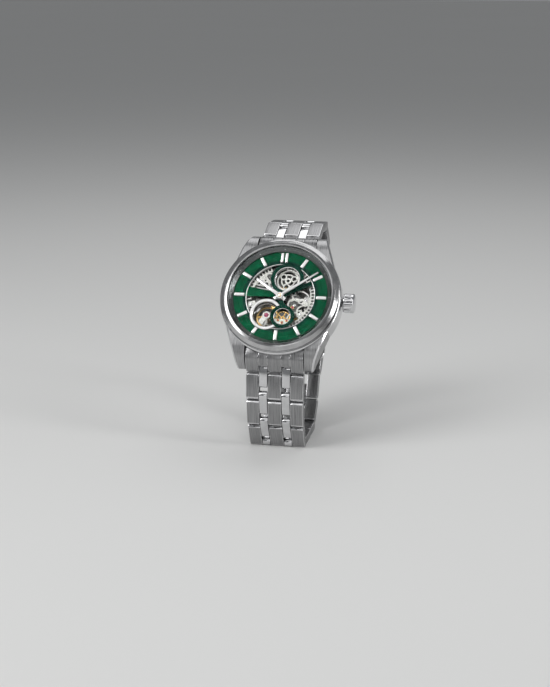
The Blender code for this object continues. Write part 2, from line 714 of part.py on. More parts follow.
# Balance, its cock, jewel and spring
spring_in = COLLET_R + RUN + SPRING_WIRE_R
spring_out = spring_in + SPRING_PITCH * SPRING_TURNS
stud_turn = 360.0 * (SPRING_TURNS % 1)
stud_r = spring_out + SPRING_WIRE_R + RUN + 0.25
stud_at = (HEART[0] + stud_r * math.cos(math.radians(stud_turn)),
           HEART[1] + stud_r * math.sin(math.radians(stud_turn)))
cock_low, cock_top = PLATE_TOP + FIT, dial_low - COCK_DROP
cock_foot = (HEART[0] * 1.45, HEART[1] * 1.45)
cock_arm = spoke(HEART, cock_foot, 1.7, cock_low, cock_top)
cock_eye = disc(JEWEL_R + 0.55, cock_low + 0.02, cock_top - 0.02, SMALL_ROUND, HEART)
stud_arm = spoke(HEART, stud_at, 0.6, cock_low + 0.04, cock_top - 0.04)
stud = disc(0.25, SPRING_Z - 0.1, cock_top - 0.1, 10, stud_at)
jewel_seat = disc(JEWEL_R + FIT, cock_low - 1.0, cock_top + 1.0, SMALL_ROUND, HEART)
cock_form = shaped(cock_arm, ("UNION", cock_eye), ("UNION", stud_arm), ("UNION", stud),
                   ("DIFFERENCE", jewel_seat))
add("balance_cock", cock_form, SILVER, head)
add("balance_jewel", disc(JEWEL_R, cock_low, cock_top + 0.05, SMALL_ROUND, HEART), RUBY, head)

seat_low = BRIDGE_TOP + RUN
seat_high = plate_low - RUN
balance_rim = ring(centre, BALANCE_R, BALANCE_R - BALANCE_RIM, BALANCE_Z, BALANCE_Z + BALANCE_THICK, 24)
arm_reach = BALANCE_R - BALANCE_RIM / 2
balance_arms = spoke((-arm_reach, 0), (arm_reach, 0), 0.8, BALANCE_Z + 0.05, BALANCE_Z + BALANCE_THICK - 0.05)
collet = arbor_form(COLLET_R, BALANCE_Z + 0.1, SPRING_Z + 0.2)
staff = arbor_form(STAFF_R, seat_low, cock_low - RUN)
balance_form = shaped(balance_rim, ("UNION", balance_arms), ("UNION", collet), ("UNION", staff))
add("balance_wheel", balance_form, GOLD, head, about(*HEART))

spring_curve = bpy.data.curves.new("hairspring", "CURVE")
spring_curve.dimensions = "3D"
spring_curve.bevel_depth = SPRING_WIRE_R * MM
spring_curve.bevel_resolution = 1
spring_curve.use_fill_caps = True
spring_points = []
for k in range(int(SPRING_TURNS * SPRING_POINTS) + 1):
    turn = k / SPRING_POINTS
    radius = spring_in + SPRING_PITCH * turn
    spring_points.append((radius * math.cos(2 * math.pi * turn), radius * math.sin(2 * math.pi * turn)))
path = spring_curve.splines.new("POLY")
path.points.add(len(spring_points) - 1)
for point, (x, y) in zip(path.points, spring_points):
    point.co = (x * MM, y * MM, 0.0, 1.0)
spring = bpy.data.objects.new("hairspring", spring_curve)
bpy.context.collection.objects.link(spring)
spring_curve.materials.append(DARK_STEEL)
spring.parent = head
spring.matrix_local = about(*HEART, SPRING_Z)


def run_gap(points, apart_by):
    """Least distance between a point and a run of the same line a good way further on."""
    least = math.inf
    track = np.array(points)
    for i, here in enumerate(track):
        for j in range(i + apart_by, len(track) - 1):
            run = track[j + 1] - track[j]
            share = np.clip(np.dot(here - track[j], run) / np.dot(run, run), 0, 1)
            least = min(least, float(np.hypot(*(track[j] + share * run - here))))
    return least


spring_gap = run_gap(spring_points, SPRING_POINTS // 2) - 2 * SPRING_WIRE_R
print("hairspring: %.2f turns, least gap to itself %.3f mm" % (SPRING_TURNS, spring_gap))

# Going train: each wheel and the pinion it drives share a module from their distance
barrel_module = module_for(TOP_RING, centre, BARREL_TEETH, CENTRE_LEAVES)
centre_module = module_for(centre, THIRD_AT, CENTRE_TEETH, THIRD_LEAVES)
third_module = module_for(THIRD_AT, LOW_RING, THIRD_TEETH, FOURTH_LEAVES)
fourth_module = module_for(LOW_RING, ESCAPE_AT, FOURTH_TEETH, ESCAPE_LEAVES)


def pinion_form(teeth, module, driver, own, low, high):
    """A pinion with a gap facing the wheel that drives it."""
    return plate(tooth_ring(teeth, module, toward(own, driver) + 180.0 / teeth), low, high)


drum_r = barrel_module * (BARREL_TEETH / 2 - 1.05) - 0.25
barrel_teeth = plate(tooth_ring(BARREL_TEETH, barrel_module, toward(TOP_RING, centre)), BARREL_Z,
                     BARREL_Z + WHEEL_THICK)
drum = lathe([(0, BARREL_Z + 0.1), (drum_r, BARREL_Z + 0.1), (drum_r, DRUM_TOP - 0.15),
              (drum_r - 0.15, DRUM_TOP), (0, DRUM_TOP)], 24)
barrel_pivot = arbor_form(0.9, seat_low, BARREL_Z + 0.2)
lid_holes = together(*[disc(0.8, DRUM_TOP - 0.4, DRUM_TOP + 0.4, 10,
                            (2.9 * math.cos(k * math.pi / 3), 2.9 * math.sin(k * math.pi / 3)))
                       for k in range(6)])
barrel_form = shaped(barrel_teeth, ("UNION", drum), ("UNION", barrel_pivot), ("DIFFERENCE", lid_holes))
add("barrel", barrel_form, SILVER, head, about(*TOP_RING))

centre_form = shaped(
    wheel_form(CENTRE_TEETH, centre_module, toward(centre, THIRD_AT), CENTRE_Z, 4),
    ("UNION", arbor_form(ARBOR_R, seat_low, MINUTE_Z + HAND_THICK + 0.2)),
    ("UNION", pinion_form(CENTRE_LEAVES, barrel_module, TOP_RING, centre, BARREL_Z - 0.15,
                          BARREL_Z + WHEEL_THICK + 0.15)))
add("centre_wheel", centre_form, GOLD, head)

third_form = shaped(
    wheel_form(THIRD_TEETH, third_module, toward(THIRD_AT, LOW_RING), THIRD_Z, 4),
    ("UNION", arbor_form(PIVOT_R * 1.6, seat_low, seat_high)),
    ("UNION", pinion_form(THIRD_LEAVES, centre_module, centre, THIRD_AT, CENTRE_Z - 0.1, seat_high - 0.02)))
add("third_wheel", third_form, GOLD, head, about(*THIRD_AT))

fourth_form = shaped(
    wheel_form(FOURTH_TEETH, fourth_module, toward(LOW_RING, ESCAPE_AT), FOURTH_Z, 4),
    ("UNION", arbor_form(PIVOT_R * 1.6, seat_low, seat_high)),
    ("UNION", pinion_form(FOURTH_LEAVES, third_module, THIRD_AT, LOW_RING, THIRD_Z - 0.15,
                          THIRD_Z + WHEEL_THICK + 0.15)))
add("fourth_wheel", fourth_form, GOLD, head, about(*LOW_RING))

escape_outline = []
for k in range(ESCAPE_TEETH):
    for share, radius in ((0.0, ESCAPE_R), (0.12, ESCAPE_R), (0.45, ESCAPE_R - 0.4), (0.75, ESCAPE_R - 0.4)):
        turn = 2 * math.pi * (k + share) / ESCAPE_TEETH
        escape_outline.append((radius * math.cos(turn), radius * math.sin(turn)))
escape_form = shaped(
    plate(escape_outline, ESCAPE_Z, ESCAPE_Z + WHEEL_THICK),
    ("UNION", arbor_form(PIVOT_R, seat_low, seat_high)),
    ("UNION", pinion_form(ESCAPE_LEAVES, fourth_module, LOW_RING, ESCAPE_AT, FOURTH_Z - 0.15,
                          FOURTH_Z + WHEEL_THICK + 0.15)))
add("escape_wheel", escape_form, POLISHED, head, about(*ESCAPE_AT))

fork_at = tuple(e + FORK_SHARE * (h - e) for e, h in zip(ESCAPE_AT, HEART))
to_balance = toward(ESCAPE_AT, HEART)
fork_tail = spoke(centre, arc(centre, FORK_LEN, to_balance, to_balance, 1)[0], 0.4, ESCAPE_Z + 0.02,
                  ESCAPE_Z + WHEEL_THICK - 0.02)
pallets = [spoke(centre, arc(centre, 1.2, to_balance + 180 + side, 0, 1)[0], 0.36, ESCAPE_Z + drop,
                 ESCAPE_Z + WHEEL_THICK - drop) for side, drop in ((-45, 0.0), (45, 0.04))]
fork_form = shaped(pallets[0], ("UNION", pallets[1]), ("UNION", fork_tail),
                   ("UNION", arbor_form(0.4, seat_low, ESCAPE_Z + WHEEL_THICK + 0.1)))
add("pallet_fork", fork_form, POLISHED, head, about(*fork_at))

# Winding side of the movement, seen through the back
ratchet_module = 2 * RATCHET_R / RATCHET_TEETH
ratchet_form = shaped(
    plate(tooth_ring(RATCHET_TEETH, ratchet_module, 0.0), RATCHET_Z, RATCHET_Z + WHEEL_THICK),
    ("UNION", arbor_form(ARBOR_R, RATCHET_Z + 0.1, BRIDGE_TOP - RUN)))
add("ratchet_wheel", ratchet_form, SILVER, head, about(*TOP_RING))
rotor_in = ROTOR_R - ROTOR_RIM
rotor_plan = arc(centre, ROTOR_R - 0.05, 184, 356, 15) + arc(centre, ROTOR_HUB * 0.8, 10, 170, 5)
rotor_rim_plan = arc(centre, ROTOR_R, 180, 360, 17) + arc(centre, rotor_in, 360, 180, 17)
rotor_windows = []
for start in (192, 244, 296):
    rotor_windows.append(arc(centre, rotor_in - 0.9, start, start + 44, 5)
                         + arc(centre, ROTOR_HUB + 1.4, start + 40, start + 4, 3))
rotor_web = plate(rotor_plan, ROTOR_Z + 0.02, ROTOR_Z + ROTOR_THICK, rotor_windows)
rotor_rim = plate(rotor_rim_plan, ROTOR_Z, bridge_low - RUN)
rotor_hub = disc(ROTOR_HUB, ROTOR_Z + 0.04, bridge_low - RUN, 24)
rotor_form = shaped(rotor_web, ("UNION", rotor_rim), ("UNION", rotor_hub))
add("rotor", rotor_form, STEEL, head)


# Hands: bevelled batons with a ridge

def hand_form(length, width, low, hub_r, hub_low, bore):
    bm = bmesh.new()
    tail, edge = 2.2, 0.06
    for x, y in ((width * 0.4, -tail), (width * 0.5, length * 0.8), (0.12, length)):
        for side in (-1, 1):
            bm.verts.new((side * x * MM, y * MM, low * MM))
            bm.verts.new((side * x * MM, y * MM, (low + edge) * MM))
    bm.verts.new((0, (0.3 - tail) * MM, (low + HAND_THICK) * MM))
    bm.verts.new((0, (length - 0.7) * MM, (low + HAND_THICK) * MM))
    bmesh.ops.convex_hull(bm, input=bm.verts)
    hub_top = low + HAND_THICK + 0.02
    return shaped(tidy(bm), ("UNION", disc(hub_r, hub_low, hub_top)),
                  ("DIFFERENCE", disc(bore, hub_low - 1.0, hub_top + 1.0, 12)))


def clock_turn(degrees):
    return Matrix.Rotation(-math.radians(degrees), 4, "Z")


add("hour_hand", hand_form(HOUR_LEN, HOUR_WIDTH, HOUR_Z, PIPE_R, dial_low - 0.4, PIPE_BORE), POLISHED, head,
    clock_turn(HOUR_AT))
add("minute_hand", hand_form(MINUTE_LEN, MINUTE_WIDTH, MINUTE_Z, PIPE_R, MINUTE_Z - 0.05, ARBOR_R + FIT),
    POLISHED, head, clock_turn(MINUTE_AT))


# End links and spring bars

def end_link_form():
    half, low = LINK_THICK / 2, FIRST_PIN_Z
    inner_y = CASE_R - 3.3
    pin_at = (FIRST_PIN_Y, low)
    profile = ([(inner_y, low)] + arc(pin_at, half, -100, 40, 7)
               + [(BAR_Y + 0.1, BAR_Z + END_LINK_OVER), (inner_y, BAR_Z + END_LINK_OVER + 0.9)])
    body = plate(profile, -WIDTH_AT_LUG / 2, WIDTH_AT_LUG / 2, along="x")
    case_side = disc(CASE_R + FIT, low - 5.0, low + 12.0, 2 * ROUND)
    inner, outer, _ = columns(WIDTH_AT_LUG)
    slots = together(*[plate(circle(pin_at, half + LINK_GAP, 10), a, b, along="x")
                       for a, b in both_sides(inner, outer)])
    bar_bore = plate(circle((BAR_Y, BAR_Z), BAR_R + FIT, 14), -LUG_GAP, LUG_GAP, along="x")
    return shaped(body, ("DIFFERENCE", case_side), ("DIFFERENCE", slots), ("DIFFERENCE", bar_bore),
                  ("UNION", pins(WIDTH_AT_LUG, *pin_at)))


bar_half = LUG_GAP / 2 - FIT
for name, turn in (("upper", 0.0), ("lower", 180.0)):
    flip = Matrix.Rotation(math.radians(turn), 4, "Z")
    add(name + "_end_link", end_link_form(), STEEL, head, flip)
    bar = plate(circle((BAR_Y, BAR_Z), BAR_R, 12), -bar_half, bar_half, along="x")
    add(name + "_spring_bar", bar, DARK_STEEL, head, flip)

# Links, narrowing toward the clasp
for name, points, angles, left in (("upper", upper_points, UPPER_ANGLES, True),
                                   ("lower", lower_points, lower_angles, False)):
    widths = np.linspace(WIDTH_AT_LUG, WIDTH_AT_CLASP, len(angles) + 1)
    for i, angle in enumerate(angles):
        add("%s_link_%d" % (name, i + 1), link_form(widths[i + 1], widths[i]), STEEL, None,
            side_place(points[i], angle, left))

# Clasp, in a frame with y down the cover and z out of the loop
clasp_place = side_place(upper_points[-1], CLASP_ANGLE, True)
cover_near = LINK_THICK / 2 + LINK_GAP
cover_mid, cover_half = (cover_near + CLASP_LEN) / 2, (CLASP_LEN - cover_near) / 2
clasp_half = WIDTH_AT_CLASP / 2


def crown_of_cover(y):
    return COVER_END_Z + COVER_CROWN * (1 - ((y - cover_mid) / cover_half) ** 2)


def add_on_axis(name, bm, material, pivot):
    """A piece of the clasp with its origin on its own axis, given as (x, y, z)."""
    back = Matrix.Translation([-v * MM for v in pivot])
    add(name, shifted(bm, back), material, None, clasp_place @ back.inverted())


def cross_pin(pin_at, radius, half, count=10):
    return plate(circle(pin_at, radius, count), -half, half, along="x")


stations = np.linspace(cover_near, CLASP_LEN, 9)
shell = ([(y, crown_of_cover(y)) for y in stations]
         + [(y, crown_of_cover(y) - COVER_THICK) for y in reversed(stations)])
inset = 0.05
wall_top = [(y, crown_of_cover(y) - COVER_THICK / 2)
            for y in np.linspace(cover_near + inset, CLASP_LEN - inset, 9)]
wall_side = wall_top + [(CLASP_LEN - inset, COVER_WALL_LOW + 1.0), (CLASP_LEN - 1.0, COVER_WALL_LOW),
                        (cover_near + 1.0, COVER_WALL_LOW), (cover_near + inset, COVER_WALL_LOW + 1.0)]
half_button, half_high = BUTTON_LEN / 2, BUTTON_HIGH / 2
gap_y, gap_z = half_button + BUTTON_PLAY, half_high + BUTTON_PLAY
window = [(cover_mid - gap_y, BUTTON_Z - gap_z), (cover_mid + gap_y, BUTTON_Z - gap_z),
          (cover_mid + gap_y, BUTTON_Z + gap_z), (cover_mid - gap_y, BUTTON_Z + gap_z)]
walls = together(*[plate(wall_side, low, high, [window], "x")
                   for low, high in both_sides(clasp_half - inset - COVER_WALL, clasp_half - inset)])
cover_pin = (CLASP_LEN - COVER_PIN_BACK, OUTER_BLADE_Z)
slot_in, slot_out, _ = columns(WIDTH_AT_CLASP)
room_along = (cover_pin[0] - 1.2, CLASP_LEN + 1.0)
room_high = (0.0, crown_of_cover(cover_mid) + 1.0)
finger_room = together(*[box(slot, room_along, room_high)
                         for slot in both_sides(slot_in + 0.1, slot_out - 0.1)])
cover_form = shaped(plate(shell, -clasp_half, clasp_half, along="x"), ("DIFFERENCE", finger_room),
                    ("UNION", walls),
                    ("UNION", tongues(WIDTH_AT_CLASP, cover_near + 1.4)),
                    ("UNION", cross_pin(cover_pin, HINGE_PIN_R, clasp_half - COVER_WALL / 2)))
add("clasp_cover", cover_form, STEEL, None, clasp_place)

blade_half, thick_half = BLADE_WIDTH / 2, BLADE_THICK / 2
blade_pin = (BLADE_PIN_Y, BLADE_PIN_Z)
leaf_start = BLADE_PIN_Y + HINGE_R + RUN + 0.1
leaf = box((-blade_half, blade_half), (leaf_start, cover_pin[0]),
           (OUTER_BLADE_Z - thick_half, OUTER_BLADE_Z + thick_half))
ear_side = (arc(blade_pin, HINGE_R, 120, 300, 9)
            + [(leaf_start + 1.1, OUTER_BLADE_Z - thick_half + 0.05),
               (leaf_start + 1.1, OUTER_BLADE_Z + thick_half - 0.05),
               (BLADE_PIN_Y + 0.2, OUTER_BLADE_Z + thick_half - 0.05)])
ears = together(*[plate(ear_side, low, high, along="x")
                  for low, high in both_sides(blade_half - EAR_WIDTH, blade_half - inset)])
outer_blade = shaped(leaf, ("UNION", cross_pin(cover_pin, HINGE_R, blade_half - inset, 14)), ("UNION", ears),
                     ("UNION", cross_pin(blade_pin, HINGE_PIN_R, blade_half - EAR_WIDTH / 2)),
                     ("DIFFERENCE", cross_pin(cover_pin, HINGE_PIN_R + RUN, clasp_half)))
add_on_axis("clasp_outer_blade", outer_blade, POLISHED, (0, *cover_pin))

knuckle_half = blade_half - EAR_WIDTH - BUTTON_PLAY
inner_low, inner_high = INNER_BLADE_Z - thick_half, INNER_BLADE_Z + thick_half
inner_end = CLASP_LEN - 0.85
inner_leaf = box((-blade_half, blade_half), (leaf_start + 0.65, inner_end), (inner_low, inner_high))
inner_neck = box((-knuckle_half + inset, knuckle_half - inset), (BLADE_PIN_Y, leaf_start + 1.2),
                 (inner_low + inset, inner_high - inset))
finger_tip = LAST_PIN_Y - PIN_R - 0.3
finger_side = [(inner_end - 0.7, inner_low + inset), (inner_end, inner_low + inset),
               (inner_end + 1.0, OUTER_BLADE_Z - 0.7), (finger_tip, OUTER_BLADE_Z - 0.35),
               (finger_tip, OUTER_BLADE_Z + 0.35), (inner_end + 0.6, OUTER_BLADE_Z + 0.15),
               (inner_end - 0.4, inner_high - inset)]
fingers = together(*[plate(finger_side, low, high, along="x")
                     for low, high in both_sides(slot_in + 0.3, slot_out - 0.3)])
catches = together(*[disc(CATCH_R, inner_low - CATCH_HIGH, inner_low + thick_half, 16, (x, cover_mid))
                     for x in (-CATCH_X, CATCH_X)])
inner_blade = shaped(inner_leaf, ("UNION", cross_pin(blade_pin, HINGE_R, knuckle_half, 14)),
                     ("UNION", inner_neck), ("UNION", fingers), ("UNION", catches),
                     ("DIFFERENCE", cross_pin(blade_pin, HINGE_PIN_R + RUN, blade_half)))
add_on_axis("clasp_inner_blade", inner_blade, POLISHED, (0, *blade_pin))

button_in, button_out = clasp_half - BUTTON_IN, clasp_half + BUTTON_PROUD
first, last = cover_mid - half_button, cover_mid + half_button
for name, side in (("left", -1), ("right", 1)):
    plan = [(button_in, first), (clasp_half, first), (button_out, first + 1.8), (button_out, last - 1.8),
            (clasp_half, last), (button_in, last)]
    button = plate([(side * x, y) for x, y in plan], BUTTON_Z - half_high, BUTTON_Z + half_high)
    add_on_axis("clasp_button_" + name, button, POLISHED, (side * clasp_half, cover_mid, BUTTON_Z))

for thing in bpy.data.objects:
    if thing.type == "MESH":
        thing.data.shade_smooth()
        thing.data.set_sharp_from_angle(angle=math.radians(30))
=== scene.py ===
# %% [markdown]
# # A skeleton wristwatch, dressed for its portrait
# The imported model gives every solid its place. This lesson gives each of them a finish, and it replaces the
# turned and flat pieces by smoother ones, because a polished ring shows every facet of a coarse solid. The
# watch head has a frame of its own: x to three o'clock, y to twelve, z out of the dial.

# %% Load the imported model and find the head's frame
import json
import math

import bmesh
import bpy
from mathutils import Matrix, Vector

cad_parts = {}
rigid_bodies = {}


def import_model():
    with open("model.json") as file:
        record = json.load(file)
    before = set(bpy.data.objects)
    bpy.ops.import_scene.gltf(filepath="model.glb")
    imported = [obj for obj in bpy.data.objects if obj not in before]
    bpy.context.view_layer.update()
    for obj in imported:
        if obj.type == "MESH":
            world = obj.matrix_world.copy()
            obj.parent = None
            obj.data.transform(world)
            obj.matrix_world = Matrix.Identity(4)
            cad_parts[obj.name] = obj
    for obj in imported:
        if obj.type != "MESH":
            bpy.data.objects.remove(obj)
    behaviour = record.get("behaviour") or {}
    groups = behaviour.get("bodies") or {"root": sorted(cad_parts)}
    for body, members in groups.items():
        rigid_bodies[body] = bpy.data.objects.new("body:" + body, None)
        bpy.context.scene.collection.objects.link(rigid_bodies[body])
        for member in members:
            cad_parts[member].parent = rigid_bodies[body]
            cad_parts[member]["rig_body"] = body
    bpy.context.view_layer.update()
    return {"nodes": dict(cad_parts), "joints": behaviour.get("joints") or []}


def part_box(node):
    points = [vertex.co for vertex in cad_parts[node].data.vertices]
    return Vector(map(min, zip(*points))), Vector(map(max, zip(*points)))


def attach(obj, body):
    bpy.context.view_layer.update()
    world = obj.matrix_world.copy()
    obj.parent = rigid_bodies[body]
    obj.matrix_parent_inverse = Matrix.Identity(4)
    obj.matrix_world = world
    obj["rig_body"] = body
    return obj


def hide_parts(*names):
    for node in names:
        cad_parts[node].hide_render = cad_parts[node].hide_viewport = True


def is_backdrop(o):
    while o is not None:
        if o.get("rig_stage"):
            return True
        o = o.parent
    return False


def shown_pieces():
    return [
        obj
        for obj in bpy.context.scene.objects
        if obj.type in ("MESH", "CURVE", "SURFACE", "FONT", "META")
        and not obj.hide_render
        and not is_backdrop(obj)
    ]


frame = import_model()
scene = bpy.context.scene
MM = 0.001
JOINTS = {joint["name"]: joint for joint in frame["joints"]}
dial_centre = Vector(JOINTS["minute_turn"]["pos_m"])
dial_out = -Vector(JOINTS["minute_turn"]["axis"])
dial_up = dial_out.cross(Vector((1, 0, 0)))
HEAD = Matrix.Translation(dial_centre) @ Matrix((Vector((1, 0, 0)), dial_up, dial_out)).transposed().to_4x4()
print("dial centre in mm", [round(v / MM, 2) for v in dial_centre], "with", len(frame["nodes"]), "nodes")

# %% [markdown]
# ## Finding a wheel's place on the dial
# Some pieces sit over a wheel of the train. Their places come from the joints, so that they follow the
# model.

# %% Places on the head
def on_dial(joint):
    """Where a joint's axis meets the dial, in millimetres from the dial's centre."""
    at = HEAD.inverted() @ Vector(JOINTS[joint]["pos_m"])
    return at.x / MM, at.y / MM


HEART = on_dial("balance_swing")
BARREL = on_dial("barrel_turn")
FOURTH = on_dial("fourth_turn")
THIRD = on_dial("third_turn")
ESCAPE = on_dial("escape_turn")
print("balance at", [round(v, 2) for v in HEART], "barrel at", [round(v, 2) for v in BARREL])

# %% [markdown]
# ## Finishes
# Steel on a bracelet has two finishes. The wide rows are drawn over a belt, which leaves fine lines along
# the bracelet, and the narrow rows and all bevels are polished. Lines are a noise that is squeezed across
# the watch and stretched along it. Every pattern reads Object coordinates, which here are metres in the
# shared frame.

# %% A material with a Principled shader and named values
def finish(name, colour, metallic=0.0, roughness=0.5, **more):
    material = bpy.data.materials.new(name)
    material.use_nodes = True
    shader = material.node_tree.nodes["Principled BSDF"]
    shader.inputs["Base Color"].default_value = (*colour, 1)
    shader.inputs["Metallic"].default_value = metallic
    shader.inputs["Roughness"].default_value = roughness
    for socket, value in more.items():
        shader.inputs[socket.replace("_", " ").title().replace("Ior", "IOR")].default_value = value
    return material


def node(material, kind, **values):
    made = material.node_tree.nodes.new("ShaderNode" + kind)
    for key, value in values.items():
        if hasattr(made, key):
            setattr(made, key, value)
        else:
            made.inputs[key.replace("_", " ")].default_value = value
    return made


def wire(material, source, target):
    material.node_tree.links.new(source, target)


# %% Noise in Object coordinates, stretched as the tool ran
NOISE_LOW, NOISE_HIGH = 0.3, 0.7


def grain(material, stretch, detail=4.0):
    """A grey noise whose size on each axis is set by stretch, in lines to the metre."""
    coords = node(material, "TexCoord")
    mapping = node(material, "Mapping", Scale=stretch)
    noise = node(material, "TexNoise", Scale=1.0, Detail=detail, Roughness=0.6)
    wire(material, coords.outputs["Object"], mapping.inputs["Vector"])
    wire(material, mapping.outputs["Vector"], noise.inputs["Vector"])
    return noise.outputs["Fac"]


def spread(material, value, low, high):
    """A grey value of the noise turned into a number from low to high."""
    ranger = node(material, "MapRange", From_Min=NOISE_LOW, From_Max=NOISE_HIGH, To_Min=low, To_Max=high)
    wire(material, value, ranger.inputs["Value"])
    return ranger.outputs["Result"]


def tint(material, value, dark, light):
    ramp = node(material, "ValToRGB")
    for stop, place, colour in zip(ramp.color_ramp.elements, (NOISE_LOW, NOISE_HIGH), (dark, light)):
        stop.position = place
        stop.color = (*colour, 1)
    wire(material, value, ramp.inputs["Fac"])
    return ramp.outputs["Color"]


def relief(material, value, strength, depth):
    bump = node(material, "Bump", Strength=strength, Distance=depth)
    wire(material, value, bump.inputs["Height"])
    wire(material, bump.outputs["Normal"], shader_of(material).inputs["Normal"])


def shader_of(material):
    return material.node_tree.nodes["Principled BSDF"]


# %% One value that sets colour and roughness together
def coloured(material, value, dark, light, rough):
    inputs = shader_of(material).inputs
    wire(material, tint(material, value, dark, light), inputs["Base Color"])
    wire(material, spread(material, value, *rough), inputs["Roughness"])


def speckled(material, lines, low, high):
    """A roughness that changes a little from place to place."""
    noise = grain(material, (lines, lines, lines))
    wire(material, spread(material, noise, low, high), shader_of(material).inputs["Roughness"])


# %% Brushed steel and polished steel
def brushed(name, dark, light, stretch, rough=(0.24, 0.40)):
    material = finish(name, light, metallic=1.0)
    lines = grain(material, stretch, 5.0)
    coloured(material, lines, dark, light, rough)
    relief(material, lines, strength=0.22, depth=0.00003)
    return material


def polished(name, dark, light, rough=(0.05, 0.12), size=260.0, metallic=1.0):
    material = finish(name, light, metallic=metallic)
    coloured(material, grain(material, (size, size, size), 3.0), dark, light, rough)
    return material


BELT_LINES = (9000.0, 120.0, 120.0)
CASE_LINES = (7000.0, 200.0, 200.0)
link_brushed = brushed("belt_brushed_steel", (0.20, 0.20, 0.205), (0.43, 0.43, 0.435), BELT_LINES)
case_brushed = brushed("case_brushed_steel", (0.28, 0.28, 0.285), (0.50, 0.50, 0.505), CASE_LINES)
bezel_satin = polished("satin_bezel_steel", (0.42, 0.42, 0.425), (0.54, 0.54, 0.545), (0.15, 0.23), 400.0)
steel_mirror = polished("mirror_steel", (0.62, 0.62, 0.63), (0.74, 0.74, 0.75))
# Dark steel for the stem, tube, movement ring and spring bars; on the screws it is painted shade in the
# slots.
dark_steel = polished("dark_steel", (0.10, 0.103, 0.106), (0.20, 0.205, 0.21), (0.22, 0.38), 900.0)
hand_steel = polished("hand_steel", (0.78, 0.78, 0.78), (0.88, 0.88, 0.88), (0.08, 0.16), 500.0)
bright_steel = polished("rhodium_plate", (0.82, 0.82, 0.81), (0.94, 0.94, 0.93), (0.12, 0.20), 500.0, 0.6)
print("steel finishes", link_brushed.name, case_brushed.name, bezel_satin.name, steel_mirror.name)

# %% [markdown]
# ## Movement finishes
# Plates are grained in small overlapping rounds, the way a watchmaker's peg leaves them. A Voronoi texture
# gives round cells, and its distance makes each one a shallow dish. Wheels are gilt, jewels are synthetic
# ruby.

# %% Pearled plates, gilt wheels and ruby
def pearled(name, dark, light, metallic, cells=1100.0):
    material = finish(name, light, metallic=metallic)
    coords = node(material, "TexCoord")
    rounds = node(material, "TexVoronoi", Scale=cells, Randomness=0.25)
    wire(material, coords.outputs["Object"], rounds.inputs["Vector"])
    coloured(material, grain(material, (5000.0, 5000.0, 5000.0), 3.0), dark, light, (0.22, 0.36))
    relief(material, rounds.outputs["Distance"], strength=0.25, depth=0.0001)
    return material


plate_silver = pearled("pearled_silver_plate", (0.66, 0.66, 0.62), (0.90, 0.90, 0.85), 0.5)
plate_ground = pearled("dark_pearled_plate", (0.05, 0.05, 0.048), (0.20, 0.20, 0.19), 0.8)
gilt = polished("gilt_brass", (0.62, 0.40, 0.14), (0.83, 0.58, 0.25), (0.16, 0.30), 1500.0)
# Near-black paint for painted shade, where wells and gaps in the plates lie in shadow.
well_shade_paint = finish("painted_well_shade", (0.010, 0.010, 0.011), roughness=0.8)
speckled(well_shade_paint, 3000.0, 0.7, 0.9)
ruby = finish("ruby", (0.42, 0.02, 0.10), roughness=0.08, ior=1.76, coat_weight=0.6)
ruby_cloud = tint(ruby, grain(ruby, (900.0, 900.0, 900.0)), (0.30, 0.01, 0.07), (0.60, 0.04, 0.16))
wire(ruby, ruby_cloud, shader_of(ruby).inputs["Base Color"])
print("movement finishes", plate_silver.name, gilt.name, ruby.name)

# %% [markdown]
# ## Dial lacquer, flange and glass
# The green lacquer is brushed outward from the centre, so its brightness changes with the angle round the
# dial. A Mapping node turns Object coordinates into the head's frame, and the angle there drives a fine
# noise. The glass has a coating against reflections, so its index is set low: a bare sapphire would lay a
# grey veil on the green.

# %% Sunburst green, grey flange, clear crystal
def head_mapping(material):
    """Object coordinates as seen from the dial's centre, x to three and y to twelve."""
    coords = node(material, "TexCoord")
    mapping = node(material, "Mapping", vector_type="TEXTURE", Location=tuple(dial_centre),
                   Rotation=tuple(HEAD.to_euler()))
    wire(material, coords.outputs["Object"], mapping.inputs["Vector"])
    return mapping.outputs["Vector"]


def sunburst(name, dark, light):
    material = finish(name, light, metallic=0.15, specular_ior_level=0.06)
    parts = node(material, "SeparateXYZ")
    wire(material, head_mapping(material), parts.inputs["Vector"])
    angle = node(material, "Math", operation="ARCTAN2")
    wire(material, parts.outputs["Y"], angle.inputs[0])
    wire(material, parts.outputs["X"], angle.inputs[1])
    rays = node(material, "TexNoise", noise_dimensions="1D", Scale=26.0, Detail=7.0, Roughness=0.75)
    wire(material, angle.outputs["Value"], rays.inputs["W"])
    both = node(material, "Math", operation="ADD")
    wire(material, rays.outputs["Fac"], both.inputs[0])
    wire(material, grain(material, (420.0, 420.0, 420.0), 2.0), both.inputs[1])
    mean = node(material, "Math", operation="MULTIPLY")
    mean.inputs[1].default_value = 0.5
    wire(material, both.outputs["Value"], mean.inputs[0])
    coloured(material, mean.outputs["Value"], dark, light, (0.26, 0.42))
    relief(material, rays.outputs["Fac"], strength=0.08, depth=0.00004)
    return material


dial_green = sunburst("sunburst_green", (0.0003, 0.030, 0.012), (0.001, 0.190, 0.075))
# The deep green is the rings' own lacquer; on the step band inside the batons it is also painted shade.
ring_green = sunburst("deep_green", (0.002, 0.024, 0.015), (0.008, 0.080, 0.052))
flange_grey = polished("satin_grey_flange", (0.16, 0.17, 0.17), (0.20, 0.21, 0.21), (0.26, 0.31), 4000.0,
                       0.85)
white_paint = finish("white_paint", (0.80, 0.80, 0.78), roughness=0.45)
speckled(white_paint, 9000.0, 0.38, 0.52)
sapphire = finish("sapphire_glass", (1.0, 1.0, 1.0), roughness=0.0, ior=1.1, transmission_weight=1.0)
print("dial finishes", dial_green.name, ring_green.name, flange_grey.name, sapphire.name)

# %% [markdown]
# ## Tools of the bench
# Turned pieces come from a profile that is spun in small steps. Flat pieces come from an outline. Both are
# made in millimetres in the head's frame, and their place goes into the mesh, so the finished object sits
# at the origin.

